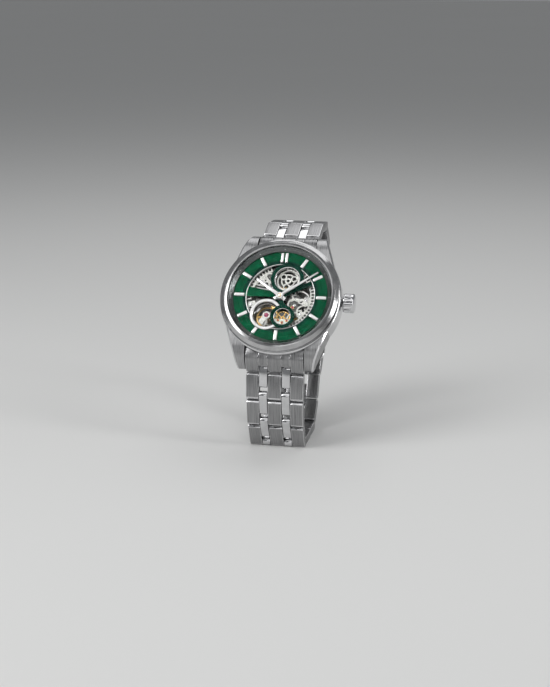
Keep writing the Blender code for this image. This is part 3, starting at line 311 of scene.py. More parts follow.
# %% Turned forms
def polar(centre, radius, turn):
    """The point at a distance and an angle, in radians, from a centre."""
    return centre[0] + radius * math.cos(turn), centre[1] + radius * math.sin(turn)


def turned(profile, steps=120, centre=(0.0, 0.0)):
    """A closed list of (radius, height) points spun about the head's z."""
    bm = bmesh.new()
    rings = []
    for radius, height in profile:
        if radius < 1e-6:
            rings.append([bm.verts.new((centre[0], centre[1], height))] * steps)
            continue
        turns = [2 * math.pi * k / steps for k in range(steps)]
        rings.append([bm.verts.new((*polar(centre, radius, turn), height)) for turn in turns])
    for a, b in zip(rings, rings[1:] + rings[:1]):
        for k in range(steps):
            j = (k + 1) % steps
            corners = list(dict.fromkeys((a[k], a[j], b[j], b[k])))
            if len(corners) > 2:
                bm.faces.new(corners)
    bmesh.ops.recalc_face_normals(bm, faces=bm.faces)
    return bm


def rounded(points, radius, steps=4):
    """A closed profile with each corner rounded off."""
    result = []
    for k, corner in enumerate(points):
        here, before, after = Vector(corner), Vector(points[k - 1]), Vector(points[(k + 1) % len(points)])
        if here.x < 1e-6:
            result.append(tuple(here))
            continue
        cut = min(radius, (before - here).length * 0.45, (after - here).length * 0.45)
        start, end = here + (before - here).normalized() * cut, here + (after - here).normalized() * cut
        for s in range(steps + 1):
            t = s / steps
            result.append(tuple((1 - t) ** 2 * start + 2 * t * (1 - t) * here + t * t * end))
    return result


# %% Flat forms
def flat(outline, low, high):
    """A plate over an outline, given counter-clockwise or not."""
    bm = bmesh.new()
    bottom = [bm.verts.new((x, y, low)) for x, y in outline]
    top = [bm.verts.new((x, y, high)) for x, y in outline]
    bm.faces.new(bottom)
    bm.faces.new(top)
    for k in range(len(outline)):
        bm.faces.new((bottom[k - 1], bottom[k], top[k], top[k - 1]))
    bmesh.ops.recalc_face_normals(bm, faces=bm.faces)
    return bm


def ribbon(points, width, low, high):
    """A flat strip that follows a line of points."""
    left, right = [], []
    line = [Vector(p) for p in points]
    for k, here in enumerate(line):
        run = line[min(k + 1, len(line) - 1)] - line[max(k - 1, 0)]
        side = Vector((-run.y, run.x)).normalized() * width / 2
        left.append(tuple(here + side))
        right.append(tuple(here - side))
    return flat(left + right[::-1], low, high)


def bow(centre, radius, start, end, count=18):
    """Points along an arc, with its ends in degrees."""
    return [polar(centre, radius, math.radians(start + (end - start) * k / (count - 1)))
            for k in range(count)]


def oblong(x, y):
    """Corners of a rectangle about the origin, from half its sides."""
    return [(-x, -y), (x, -y), (x, y), (-x, y)]


def upright(view, low, high):
    """A block over a side view in (y, z), from low to high across. Its normals aren't set yet."""
    bm = bmesh.new()
    walls = [[bm.verts.new((x, y, z)) for y, z in view] for x in (low, high)]
    for wall in walls:
        bm.faces.new(wall)
    for k in range(len(view)):
        bm.faces.new((walls[0][k - 1], walls[0][k], walls[1][k], walls[1][k - 1]))
    return bm


def eased(bm, width, segments=2, material=0, least=25.0):
    """Sharp edges broken by a small bevel, which may take another finish."""
    sharp = [e for e in bm.edges if len(e.link_faces) == 2 and e.calc_face_angle(0) > math.radians(least)]
    bmesh.ops.bevel(bm, geom=sharp, offset=width, segments=segments, affect="EDGES", profile=0.6,
                    clamp_overlap=True, material=material)
    return bm


def gathered(*forms):
    whole = bmesh.new()
    for form in forms:
        mesh = bpy.data.meshes.new("form")
        form.to_mesh(mesh)
        form.free()
        whole.from_mesh(mesh)
        bpy.data.meshes.remove(mesh)
    return whole


# %% From a form to a piece that rides on a body
def head_turn(degrees):
    """The head's place, turned about the dial's axis."""
    return HEAD @ Matrix.Rotation(math.radians(degrees), 4, "Z")


def piece(name, form, finishes, body, place=HEAD, stands_for=(), sharp=32.0):
    """A form in millimetres becomes an object in metres, with its place in its mesh."""
    mesh = bpy.data.meshes.new(name)
    form.to_mesh(mesh)
    form.free()
    return settle(name, mesh, finishes, body, place @ Matrix.Scale(MM, 4), stands_for, sharp)


def settle(name, mesh, finishes, body, place, stands_for=(), sharp=32.0):
    mesh.transform(place)
    for material in finishes:
        mesh.materials.append(material)
    mesh.shade_smooth()
    mesh.set_sharp_from_angle(angle=math.radians(sharp))
    thing = bpy.data.objects.new(name, mesh)
    scene.collection.objects.link(thing)
    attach(thing, body)
    if stands_for:
        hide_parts(*stands_for)
    return thing


# %% [markdown]
# ## Camera, floor and lights
# The watch is seen from a little above and a little to its right, through a long lens. The floor is plain
# and pale. Steel shows what stands round it, so five soft boxes light it from the left, from above, from
# the right and from the front, low and high. Two dark cards that only reflections can see give the polished
# rings their dark bands, as in a studio.

# %% Camera at the photograph's angle
LENS, SENSOR = 78.6, 36.0
DISTANCE = 0.5
SHIFT_RIGHT, SHIFT_UP = 1.75 * MM, 15.66 * MM
camera_back = Vector((0.1926, -0.9465, 0.2588)).normalized()
camera_right = Vector((0.980, 0.199, 0.0))
camera_up = Vector((-0.0516, 0.2536, 0.9659))
target = dial_centre - SHIFT_RIGHT * camera_right - SHIFT_UP * camera_up
camera_data = bpy.data.cameras.new("portrait")
camera_data.lens = LENS
camera_data.sensor_width = SENSOR
camera_data.clip_start = 0.01
camera = bpy.data.objects.new("portrait", camera_data)
scene.collection.objects.link(camera)
camera.location = target + DISTANCE * camera_back
camera.rotation_euler = camera_back.to_track_quat("Z", "Y").to_euler()
scene.camera = camera
scene.view_settings.view_transform = "Standard"
print("camera at", [round(v, 3) for v in camera.location])


# %% Floor and world
def sheet(name, width, depth, material):
    """A flat rectangle about its own middle."""
    mesh = bpy.data.meshes.new(name)
    mesh.from_pydata([(x, y, 0) for x, y in oblong(width / 2, depth / 2)], [], [(0, 1, 2, 3)])
    mesh.materials.append(material)
    thing = bpy.data.objects.new(name, mesh)
    scene.collection.objects.link(thing)
    return thing


FLOOR_SIZE, FLOOR_DROP = 8.0, 0.00002
WORLD_COLOUR, WORLD_STRENGTH = (0.92, 0.94, 0.96, 1), 0.24
floor_paint = finish("pale_floor", (0.78, 0.78, 0.77), roughness=0.6)
speckled(floor_paint, 3.0, 0.55, 0.65)
floor = sheet("floor", FLOOR_SIZE, FLOOR_SIZE, floor_paint)
floor.location.z = -FLOOR_DROP
floor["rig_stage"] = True
world = bpy.data.worlds.new("studio")
world.use_nodes = True
world.node_tree.nodes["Background"].inputs["Color"].default_value = WORLD_COLOUR
world.node_tree.nodes["Background"].inputs["Strength"].default_value = WORLD_STRENGTH
scene.world = world


# %% Soft boxes
def facing(place, aim):
    return (Vector(place) - Vector(aim)).to_track_quat("Z", "Y").to_euler()


def soft_box(name, place, size, watts, aim=(0, 0, 0.04)):
    data = bpy.data.lights.new(name, "AREA")
    data.shape = "RECTANGLE"
    data.size, data.size_y = size
    data.energy = watts
    lamp = bpy.data.objects.new(name, data)
    lamp.location = place
    lamp.rotation_euler = facing(place, aim)
    scene.collection.objects.link(lamp)


soft_box("key_left", (-0.42, -0.36, 0.42), (0.30, 0.45), 1.6)
soft_box("top", (0.03, 0.30, 0.56), (0.5, 0.4), 0.85)
soft_box("right_strip", (0.48, -0.10, 0.22), (0.10, 0.42), 0.8)
soft_box("front_low", (0.05, -0.60, 0.18), (0.30, 0.12), 0.15)
soft_box("front_high", (-0.10, -0.26, 0.50), (0.50, 0.40), 0.60)

# %% Dark cards that only reflections see
card_black = finish("card_black", (0.012, 0.012, 0.012), roughness=0.9)


def dark_card(name, place, size, aim=(0, 0, 0.05)):
    card = sheet(name, *size, card_black)
    card.location = place
    card.rotation_euler = facing(place, aim)
    card.visible_camera = False
    card.visible_shadow = False
    card.visible_diffuse = False
    card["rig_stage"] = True


dark_card("card_right", (0.40, -0.34, 0.20), (0.16, 0.50))
dark_card("card_front", (-0.10, -0.66, 0.44), (0.22, 0.30))
print("cards are seen by reflections alone")

# %% [markdown]
# ## Case and bezel
# The case ring is polished. Its lugs are brushed, with a polished bevel along their outer side. The bezel
# is satin, with two slopes and a narrow lip round the glass. All rings are spun with many steps so that
# their reflections run smoothly.

# %% Case ring and lugs
CASE_R, BORE_R = 20.5, 17.0
CASE_TOP, CASE_BOTTOM = 0.3, -7.2
LUG_REACH, LUG_DROP = 24.0, 7.3
LUG_LOW, LUG_HIGH, LUG_FLARE = 10.1, 12.8, 28.0
LUG_ROOT, LUG_BEVEL = 0.9, 0.5
case_view = [(BORE_R, CASE_BOTTOM), (CASE_R - 0.9, CASE_BOTTOM), (CASE_R, CASE_BOTTOM + 0.9),
             (CASE_R, CASE_TOP - 0.5), (CASE_R - 0.5, CASE_TOP), (BORE_R, CASE_TOP)]
case_ring = turned(rounded(case_view, 0.3), 144)
for face in case_ring.faces:
    face.material_index = 1


def lug(side, end):
    """One lug: a side view cut by upright planes, so its outer side runs to the case at a slant."""
    root = math.sqrt(BORE_R ** 2 - LUG_LOW ** 2) + LUG_ROOT
    turn = math.radians(LUG_FLARE)
    flare_out = polar((0, 0), CASE_R - 0.4, turn)
    flare_in = polar((0, 0), BORE_R + LUG_ROOT, turn)
    start, foot, tip_low = flare_in[1] - 0.5, CASE_BOTTOM + 0.6, 0.4 - LUG_DROP
    back = [(6.5, CASE_TOP - 0.4), (4.6, -0.75), (3.0, -1.5), (1.7, -2.65), (0.8, -4.0), (0.25, -5.2),
            (0.0, 1.0 - LUG_DROP), (0.2, tip_low), (0.7, -LUG_DROP), (2.4, tip_low), (6.0, foot)]
    view = [(start, CASE_TOP - 0.3)] + [(LUG_REACH - y, z) for y, z in back] + [(start, foot)]
    bm = upright(view, LUG_LOW, CASE_R)
    for first, last in (((LUG_LOW, root), flare_in), (flare_out, (LUG_HIGH, LUG_REACH))):
        away = (last[1] - first[1], first[0] - last[0], 0)
        bmesh.ops.bisect_plane(bm, geom=bm.verts[:] + bm.edges[:] + bm.faces[:], plane_co=(*first, 0),
                               plane_no=away, clear_outer=True)
        closed = bmesh.ops.edgeloop_fill(bm, edges=[e for e in bm.edges if e.is_boundary])
    bmesh.ops.scale(bm, vec=(side, end, 1), verts=bm.verts)
    bmesh.ops.recalc_face_normals(bm, faces=bm.faces)
    bmesh.ops.bevel(bm, geom=list(closed["faces"][0].edges), offset=LUG_BEVEL, segments=1, affect="EDGES",
                    profile=0.5, clamp_overlap=True, material=1)
    return bm


case_form = gathered(case_ring, *[lug(side, end) for side in (1, -1) for end in (1, -1)])
case = piece("case_middle", case_form, [case_brushed, steel_mirror], "case", stands_for=["case_body"])
print("case faces", len(case.data.polygons))

# %% Bezel with its slopes and lip
BEZEL_R, BEZEL_OPEN = 20.2, 17.4
BEZEL_LOW, BEZEL_TOP = 0.38, 2.75
bezel_view = [(BEZEL_OPEN, BEZEL_LOW), (BEZEL_R - 0.2, BEZEL_LOW), (BEZEL_R, BEZEL_LOW + 0.2),
              (BEZEL_R, 1.15), (BEZEL_R - 0.45, 1.35), (BEZEL_R - 1.5, BEZEL_TOP - 0.33),
              (BEZEL_OPEN + 0.3, BEZEL_TOP), (BEZEL_OPEN, BEZEL_TOP - 0.3)]
bezel = piece("bezel_ring", turned(rounded(bezel_view, 0.05, 2), 180), [bezel_satin], "case",
              stands_for=["bezel"], sharp=22)
print("bezel faces", len(bezel.data.polygons))

# %% [markdown]
# ## Glass, flange and back
# The crystal is a clear slab with a low dome. The flange is a dark slope under it that carries a small
# painted dot at each hour. The back is a brushed ring with its own window.

# %% Crystal, back and flange
FIT = 0.08
GLASS_LOW, GLASS_EDGE, GLASS_TOP, DOME = 1.8, 2.62, 2.8, 0.25
WINDOW_R, WINDOW_LOW, WINDOW_TOP = 13.2, -8.22, -7.32
BACK_R, BACK_OPEN, BACK_LOW, BACK_TOP = 19.0, 12.2, -8.9, -7.28
FLANGE_IN, FLANGE_FOOT, FLANGE_OUT, FLANGE_TOP = 15.95, 16.92, 17.32, 1.72
crystal_r = BEZEL_OPEN - FIT
dome = [(crystal_r * k / 10, GLASS_TOP + DOME * (1 - (k / 10) ** 2)) for k in range(9, -1, -1)]
crystal_view = [(0, GLASS_LOW), (crystal_r, GLASS_LOW), (crystal_r, GLASS_EDGE), (crystal_r - 0.3, GLASS_TOP)]
piece("crystal_dome", turned(crystal_view + dome, 120), [sapphire], "case", stands_for=["crystal"],
      sharp=20)
window_view = rounded([(0, WINDOW_LOW), (WINDOW_R, WINDOW_LOW), (WINDOW_R, WINDOW_TOP), (0, WINDOW_TOP)], 0.1)
piece("back_window", turned(window_view, 96), [sapphire], "case", stands_for=["back_glass"])
back_view = rounded([(BACK_OPEN, BACK_LOW), (BACK_R - 1.2, BACK_LOW), (BACK_R, BACK_LOW + 0.8),
                     (BACK_R, BACK_TOP), (WINDOW_R + FIT, BACK_TOP), (WINDOW_R + FIT, BACK_LOW + 0.6),
                     (BACK_OPEN, BACK_LOW + 0.6)], 0.15)
piece("back_ring", turned(back_view, 144), [case_brushed], "case", stands_for=["case_back"])
flange_view = [(FLANGE_IN, 0.08), (FLANGE_FOOT, 0.08), (FLANGE_FOOT, 0.42), (FLANGE_OUT, 0.42),
               (FLANGE_OUT, FLANGE_TOP), (FLANGE_OUT - 0.12, FLANGE_TOP), (FLANGE_IN, 0.50)]
piece("flange_slope", turned(rounded(flange_view, 0.06), 144), [flange_grey], "case",
      stands_for=["flange_ring"])
print("glass, back and flange are turned")

# %% [markdown]
# ## What repeats round the dial
# Batons, dots, ticks and the rungs of the slotted rim are one small form repeated on a circle. One Geometry
# Nodes tree does it for all of them: it makes points, sets each one on the circle from its index, instances
# the form there and realizes it.

# %% A tree that repeats a form round an axis
def tree_with(name, sockets):
    """A new tree, the outputs of its input node and the one input of its output node."""
    tree = bpy.data.node_groups.new(name, "GeometryNodeTree")
    tree.interface.new_socket("Geometry", in_out="OUTPUT", socket_type="NodeSocketGeometry")
    for label, kind in sockets:
        tree.interface.new_socket(label, in_out="INPUT", socket_type="NodeSocket" + kind)
    given = tree.nodes.new("NodeGroupInput").outputs
    return tree, given, tree.nodes.new("NodeGroupOutput").inputs["Geometry"]


def put(tree, kind, **sources):
    """A new node whose named inputs take the given outputs."""
    made = tree.nodes.new(kind)
    for name, source in sources.items():
        tree.links.new(source, made.inputs[name])
    return made


def sum_node(tree, operation, first, second=None):
    made = tree.nodes.new("ShaderNodeMath")
    made.operation = operation
    for k, value in enumerate((first, second)):
        if value is None:
            continue
        if isinstance(value, (int, float)):
            made.inputs[k].default_value = value
        else:
            tree.links.new(value, made.inputs[k])
    return made.outputs[0]


def round_tree():
    sockets = [("Form", "Object"), ("Count", "Int"), ("Radius", "Float"), ("First", "Float"),
               ("Step", "Float"), ("Finish", "Material")]
    tree, given, result = tree_with("repeat_round", sockets)
    index = put(tree, "GeometryNodeInputIndex")
    turn = sum_node(tree, "ADD", sum_node(tree, "MULTIPLY", index.outputs[0], given["Step"]), given["First"])
    place = put(tree, "ShaderNodeCombineXYZ")
    for axis, operation in (("X", "COSINE"), ("Y", "SINE")):
        share = sum_node(tree, "MULTIPLY", sum_node(tree, operation, turn), given["Radius"])
        tree.links.new(share, place.inputs[axis])
    points = put(tree, "GeometryNodePoints", Count=given["Count"], Position=place.outputs[0])
    form = put(tree, "GeometryNodeObjectInfo", Object=given["Form"])
    heading = put(tree, "ShaderNodeCombineXYZ", Z=turn)
    copies = put(tree, "GeometryNodeInstanceOnPoints", Points=points.outputs[0],
                 Instance=form.outputs["Geometry"], Rotation=heading.outputs[0])
    real = put(tree, "GeometryNodeRealizeInstances", Geometry=copies.outputs[0])
    coat = put(tree, "GeometryNodeSetMaterial", Geometry=real.outputs[0], Material=given["Finish"])
    tree.links.new(coat.outputs[0], result)
    return tree


ROUND_TREE = round_tree()
print("tree inputs", [item.name for item in ROUND_TREE.interface.items_tree if item.in_out == "INPUT"])


# %% Running a tree and keeping its mesh
def run_tree(tree, values):
    """The tree's result as a plain mesh. The object that ran it is removed."""
    host = bpy.data.objects.new("host", bpy.data.meshes.new("host"))
    scene.collection.objects.link(host)
    modifier = host.modifiers.new("tree", "NODES")
    modifier.node_group = tree
    for item in tree.interface.items_tree:
        if item.in_out == "INPUT":
            modifier[item.identifier] = values[item.name]
    scene.view_layers[0].update()
    seen = host.evaluated_get(bpy.context.evaluated_depsgraph_get())
    mesh = bpy.data.meshes.new_from_object(seen)
    bpy.data.objects.remove(host)
    return mesh


def template(form):
    mesh = bpy.data.meshes.new("template")
    form.to_mesh(mesh)
    form.free()
    thing = bpy.data.objects.new("template", mesh)
    scene.collection.objects.link(thing)
    return thing


def repeated(name, form, count, radius, material, body, first=0.0, step=None, place=HEAD):
    """One form set count times on a circle, from the angle first, in degrees."""
    model = template(form)
    turn = 2 * math.pi / count if step is None else math.radians(step)
    values = {"Form": model, "Count": count, "Radius": radius, "First": math.radians(first), "Step": turn,
              "Finish": material}
    mesh = run_tree(ROUND_TREE, values)
    bpy.data.objects.remove(model)
    return settle(name, mesh, [], body, place @ Matrix.Scale(MM, 4), (), sharp=20.0)


# %% [markdown]
# ## Dial
# The dial is a green annulus with a groove, two smaller rings that stand off the centre, and the bars that
# carry them. Thin polished lips follow the openings. Each piece is turned or cut on its own and laid as in
# the model.

# %% Taking one form out of another
def cut(form, tool):
    body, cutter = template(form), template(tool)
    boolean = body.modifiers.new("cut", "BOOLEAN")
    boolean.operation = "DIFFERENCE"
    boolean.solver = "EXACT"
    boolean.object = cutter
    scene.view_layers[0].update()
    mesh = bpy.data.meshes.new_from_object(body.evaluated_get(bpy.context.evaluated_depsgraph_get()))
    left = bmesh.new()
    left.from_mesh(mesh)
    for thing in (body, cutter):
        bpy.data.objects.remove(thing)
    return left


def band(centre, outer, inner, low, high, ease=0.14):
    return turned(rounded([(inner, low), (outer, low), (outer, high), (inner, high)], ease, 3), 96, centre)


def bar(start, end, width, low, high):
    return eased(ribbon([start, end], width, low, high), 0.12)


def at_clock(degrees, radius):
    return polar((0, 0), radius, math.radians(90.0 - degrees))


def plug(centre, radius):
    """A cylinder right through the dial, to cut with."""
    view = [(0, -PLUG_REACH), (radius, -PLUG_REACH), (radius, PLUG_REACH), (0, PLUG_REACH)]
    return turned(view, 96, centre)


def heart_hole():
    return plug(HEART, HEART_OUT + FIT)


# %% Annulus, rings and bars
PLUG_REACH = 1.5
DIAL_R, DIAL_OPEN, DIAL_LOW = 16.9, 11.6, -0.4
STEP_R, STEP_TOP = 12.85, -0.12
GROOVE_R, GROOVE_LOW = 14.2, -0.07
TOP_RING_OUT, TOP_RING_IN = 5.6, 4.3
LOW_RING_OUT, LOW_RING_IN = 4.1, 2.9
LOW_RING_LOW, LOW_RING_TOP = 0.2, 0.38
HEART_OUT, HEART_IN, HEART_TOP = 5.5, 4.4, 0.14
HUB_R, HUB_BORE = 2.1, 1.56
annulus_view = [(STEP_R, DIAL_LOW), (DIAL_R, DIAL_LOW), (DIAL_R, 0.0), (GROOVE_R + 0.15, 0.0),
                (GROOVE_R + 0.08, GROOVE_LOW), (GROOVE_R - 0.08, GROOVE_LOW), (GROOVE_R - 0.15, 0.0),
                (STEP_R + 0.05, 0.0), (STEP_R, -0.05)]
annulus = cut(turned(annulus_view, 160), heart_hole())
# The step band is a real step down, and its deep green is painted shade where the band lies in shadow.
step = cut(band((0, 0), STEP_R, DIAL_OPEN + 0.12, DIAL_LOW, STEP_TOP, 0.04), heart_hole())
nine_bar = eased(flat([(-12.0, -0.3), (-1.8, -0.25), (-1.8, 1.65), (-12.0, 3.3)], -0.33, -0.07), 0.1)
two_bar = bar(at_clock(62, 1.8), at_clock(62, 12.1), 1.5, -0.31, -0.09)
six_arm = bar((0.15, -1.75), (FOURTH[0], FOURTH[1] + 3.5), 1.84, LOW_RING_LOW, LOW_RING_TOP - 0.03)
hub = band((0, 0), HUB_R, HUB_BORE, -0.35, LOW_RING_TOP - 0.04, 0.08)
dial = piece("dial_annulus", gathered(annulus, nine_bar), [dial_green], "case", stands_for=["dial"])
rings = gathered(band(BARREL, TOP_RING_OUT, TOP_RING_IN, -0.38, 0.10),
                 band(FOURTH, LOW_RING_OUT, LOW_RING_IN, LOW_RING_LOW, LOW_RING_TOP, 0.1),
                 two_bar, six_arm, hub, step)
piece("dial_rings", rings, [ring_green], "case")
print("dial faces", len(dial.data.polygons))

# %% Polished lips and the ring of the open heart
LIP_TOP = 0.02
HIDDEN_R = 3.3
lip_view = [(DIAL_OPEN - 0.24, -0.42), (DIAL_OPEN + 0.1, -0.42), (DIAL_OPEN + 0.1, LIP_TOP),
            (DIAL_OPEN - 0.1, LIP_TOP)]
lip = cut(turned(rounded(lip_view, 0.06, 2), 160), heart_hole())
ring_lips = [band(BARREL, TOP_RING_IN, TOP_RING_IN - 0.16, DIAL_LOW, LIP_TOP, 0.05),
             band(FOURTH, LOW_RING_IN, LOW_RING_IN - 0.12, LOW_RING_LOW + 0.01, LOW_RING_TOP - 0.04, 0.04)]
piece("dial_lips", gathered(lip, *ring_lips), [bright_steel], "case")
heart_view = [(HEART_IN, -0.38), (HEART_OUT, -0.38), (HEART_OUT, LIP_TOP), (HEART_OUT - 0.16, HEART_TOP),
              (HEART_IN + 0.24, HEART_TOP), (HEART_IN, -0.05)]
heart_ring = cut(turned(rounded(heart_view, 0.05, 3), 96, HEART), plug(FOURTH, HIDDEN_R))
piece("heart_ring", heart_ring, [bright_steel], "case", stands_for=["open_heart_ring"])
print("lips and heart ring are polished")

# %% [markdown]
# ## Markers, dots and hands
# Each baton is a small roof: two long faces that meet in a ridge, so one side is bright while the other is
# dark. Twelve o'clock has a pair, and seven is short, because the ring of the open heart takes its room.
# The hands are the same roof drawn long, on a polished hub.

# %% A roof-shaped baton
def roof(length_in, length_out, width, low, high, tip=None, hip=0.25, eave=0.35):
    """A faceted bar along x from length_in to length_out. Tip is its width at the far end."""
    far = width if tip is None else tip
    bm = bmesh.new()
    wall = low + (high - low) * eave
    base = [(length_in, -width / 2), (length_out, -far / 2), (length_out, far / 2), (length_in, width / 2)]
    bottom = [bm.verts.new((x, y, low)) for x, y in base]
    eaves = [bm.verts.new((x, y, wall)) for x, y in base]
    ridge = [bm.verts.new((x, 0, high)) for x in (length_in + hip, length_out - hip)]
    bm.faces.new(bottom)
    for k in range(4):
        bm.faces.new((bottom[k - 1], bottom[k], eaves[k], eaves[k - 1]))
    bm.faces.new((eaves[0], eaves[1], ridge[1], ridge[0]))
    bm.faces.new((eaves[2], eaves[3], ridge[0], ridge[1]))
    bm.faces.new((eaves[1], eaves[2], ridge[1]))
    bm.faces.new((eaves[3], eaves[0], ridge[0]))
    bmesh.ops.recalc_face_normals(bm, faces=bm.faces)
    return bm


BATON_LOW, BATON_HIGH, BATON_WIDTH = -0.1, 0.5, 1.05
BATON_MID, BATON_HALF = 13.9, 1.7
BATON_IN, BATON_OUT, SEVEN_IN = 12.2, 15.6, 13.3
TWIN_WIDTH, TWIN_SHIFT = 0.85, 0.75


def baton(near_end, far_end, width=BATON_WIDTH):
    return eased(roof(near_end, far_end, width, BATON_LOW, BATON_HIGH, eave=0.8), 0.03, 1)


for hours, count, first in (("one_to_six", 6, 60.0), ("eight_to_eleven", 4, -150.0)):
    repeated("batons_" + hours, baton(-BATON_HALF, BATON_HALF), count, BATON_MID, bright_steel, "case",
             first=first, step=-30.0)
piece("baton_seven", baton(SEVEN_IN, BATON_OUT), [bright_steel], "case", place=head_turn(-120),
      sharp=20)
twins = [baton(BATON_IN, BATON_OUT, TWIN_WIDTH) for _ in range(2)]
for form, shift in zip(twins, (-TWIN_SHIFT, TWIN_SHIFT)):
    bmesh.ops.translate(form, verts=form.verts, vec=(0, shift, 0))
piece("twelve_batons", gathered(*twins), [bright_steel], "case", place=head_turn(90),
      sharp=20)
print("batons stand at every hour")

# %% Painted dots on the flange
DOT_R, DOT_CIRCLE, DOT_LIFT = 0.17, 16.6, 1.15
dot = eased(flat(bow((0, 0), DOT_R, 0, 330, 12), -0.03, 0.05), 0.02, 1)
tick = flat(oblong(0.05, 0.04), -0.02, 0.03)
lean = Matrix.Rotation(math.radians(-44), 4, "Y")
lifted = HEAD @ Matrix.Translation((0, 0, DOT_LIFT * MM))
for name, mark, count in (("hour_dots", dot, 12), ("minute_ticks", tick, 60)):
    bmesh.ops.transform(mark, matrix=lean, verts=mark.verts)
    repeated(name, mark, count, DOT_CIRCLE, white_paint, "case", place=lifted)
print("flange has 12 dots and 60 ticks")


# %% Hands
def hand(name, length, width, low, hub, clock, body, node_name):
    """A faceted blade with a boss. Hub gives the boss's underside, bore and radius."""
    hub_low, bore, boss_r = hub
    blade = eased(roof(-HAND_TAIL, length, width, low, low + 0.28, width * 0.5, 0.6), 0.025, 1)
    boss = rounded([(bore, hub_low), (boss_r, hub_low), (boss_r, low + 0.32), (bore, low + 0.32)], 0.08, 3)
    return piece(name, gathered(blade, turned(boss, 48)), [bright_steel], body, place=head_turn(90.0 - clock),
                 stands_for=[node_name], sharp=20)


HAND_TAIL = 2.2
HOUR_CLOCK, MINUTE_CLOCK = 304.5, 54.0
hand("hour_blade", 10.3, 1.4, 0.46, (-0.8, 0.75, 1.2), HOUR_CLOCK, "hour", "hour_hand")
hand("minute_blade", 14.9, 1.2, 0.97, (0.92, 0.68, 1.1), MINUTE_CLOCK, "centre", "minute_hand")
cap = rounded([(0, 1.22), (0.62, 1.22), (0.62, 1.42), (0, 1.5)], 0.08, 3)
piece("hand_cap", turned(cap, 32), [hand_steel], "centre")
print("hands read nine past ten")

# %% [markdown]
# ## Movement seen through the dial
# Between the dial and the main plate lie the flat pieces of the winding work: springs, levers and a slotted
# rim. They are drawn as strips that follow arcs. Wheels, plates and the balance keep the model's shape,
# with their corners broken, and get their own finishes.

# %% A dressed copy of a solid
def dressed(node_name, material, ease=0.04, edge=None, sharp=30.0):
    """The solid's own shape, merged, with broken corners, standing for the node."""
    source = frame["nodes"][node_name]
    bm = bmesh.new()
    bm.from_mesh(source.data)
    bmesh.ops.scale(bm, vec=(1 / MM,) * 3, verts=bm.verts)
    bmesh.ops.remove_doubles(bm, verts=bm.verts, dist=0.0005)
    bmesh.ops.dissolve_limit(bm, angle_limit=math.radians(0.4), verts=bm.verts, edges=bm.edges)
    if ease:
        eased(bm, ease, 1, 1 if edge else 0, 40.0)
    for face in bm.faces:
        face.material_index = min(face.material_index, 1 if edge else 0)
    finishes = [material, edge] if edge else [material]
    return piece(node_name + "_finished", bm, finishes, source["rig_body"], place=Matrix.Identity(4),
                 stands_for=[node_name], sharp=sharp)


dressed("main_plate", plate_ground, 0.08, hand_steel)
for name in ("train_bridge", "balance_cock"):
    dressed(name, plate_silver, 0.05, hand_steel)
dressed("barrel", plate_ground, 0.02)
dressed("ratchet_wheel", plate_silver, 0.02)
for name in ("centre_wheel", "third_wheel", "fourth_wheel", "balance_wheel"):
    dressed(name, gilt, 0.02)
for name in ("escape_wheel", "pallet_fork"):
    dressed(name, steel_mirror, 0.015)
for name in ("movement_ring", "crown_tube", "winding_stem", "upper_spring_bar", "lower_spring_bar"):
    dressed(name, dark_steel, 0.03)
print("movement solids dressed")

# %% Slotted rim
RIM_LOW, RIM_HIGH, RUNG_CIRCLE = -1.45, -1.02, 11.0
rails = [eased(ribbon(bow((0, 0), radius, start, end, 60), width, RIM_LOW, RIM_HIGH), 0.05, 1)
         for start, end in ((-62, 84), (112, 186)) for radius, width in ((11.85, 0.5), (10.15, 0.45))]
piece("rim_rails", gathered(*rails), [plate_silver], "case")
for side, count, first in (("right", 25, -61.0), ("left", 13, 113.0)):
    rung = eased(flat(oblong(0.8, 0.22), RIM_LOW + 0.03, RIM_HIGH - 0.03), 0.05, 1)
    repeated("rim_rungs_" + side, rung, count, RUNG_CIRCLE, plate_silver, "case", first=first, step=6.0)
print("rim has rails and rungs")

# %% Springs and levers of the winding work
LEVER_LOW, SETTING_TOP = -1.46, -1.24
levers = [ribbon(bow((6.2, 1.6), 2.5, 150, 330), 0.55, LEVER_LOW, -1.10),
          ribbon(bow((6.6, -0.6), 3.1, -40, 110), 0.5, LEVER_LOW, -1.05),
          ribbon(bow((4.6, -2.2), 1.9, 20, 230), 0.6, LEVER_LOW, -1.15),
          ribbon(bow((8.2, -4.8), 2.3, 70, 260), 0.5, LEVER_LOW, -1.10),
          ribbon([(3.4, -1.0), (5.2, -0.2), (7.4, -0.6), (9.2, 0.4)], 0.7, LEVER_LOW, -1.18),
          ribbon(bow((-6.6, 3.4), 3.2, 40, 200), 0.5, LEVER_LOW, -1.10),
          ribbon(bow((-4.6, 6.6), 2.0, -60, 150), 0.5, LEVER_LOW, -1.12),
          ribbon([(-9.2, 4.6), (-6.8, 6.4), (-5.2, 8.6)], 0.6, LEVER_LOW, -1.16),
          ribbon(bow((5.4, -7.6), 2.5, 30, 300), 0.45, LEVER_LOW, -1.12)]
setting_plates = [[(5.4, -0.4), (9.7, 0.6), (10.0, -1.4), (8.4, -2.4), (6.4, -1.8)],
                  [(5.8, -4.4), (8.8, -3.4), (9.0, -5.2), (7.2, -7.4), (6.0, -6.6)],
                  [(-10.9, -1.9), (-8.6, -1.3), (-8.2, -2.9), (-9.4, -4.8), (-10.9, -4.4)],
                  [(-9.2, 4.3), (-5.2, 3.6), (-3.8, 5.2), (-6.2, 8.2), (-7.4, 7.4)],
                  [(3.2, 0.6), (5.2, 1.2), (5.0, 2.2), (3.4, 1.8)]]
levers += [flat(outline, LEVER_LOW, SETTING_TOP) for outline in setting_plates]
piece("winding_levers", gathered(*[eased(form, 0.06, 1) for form in levers]), [plate_silver], "case")
print("levers", len(levers))
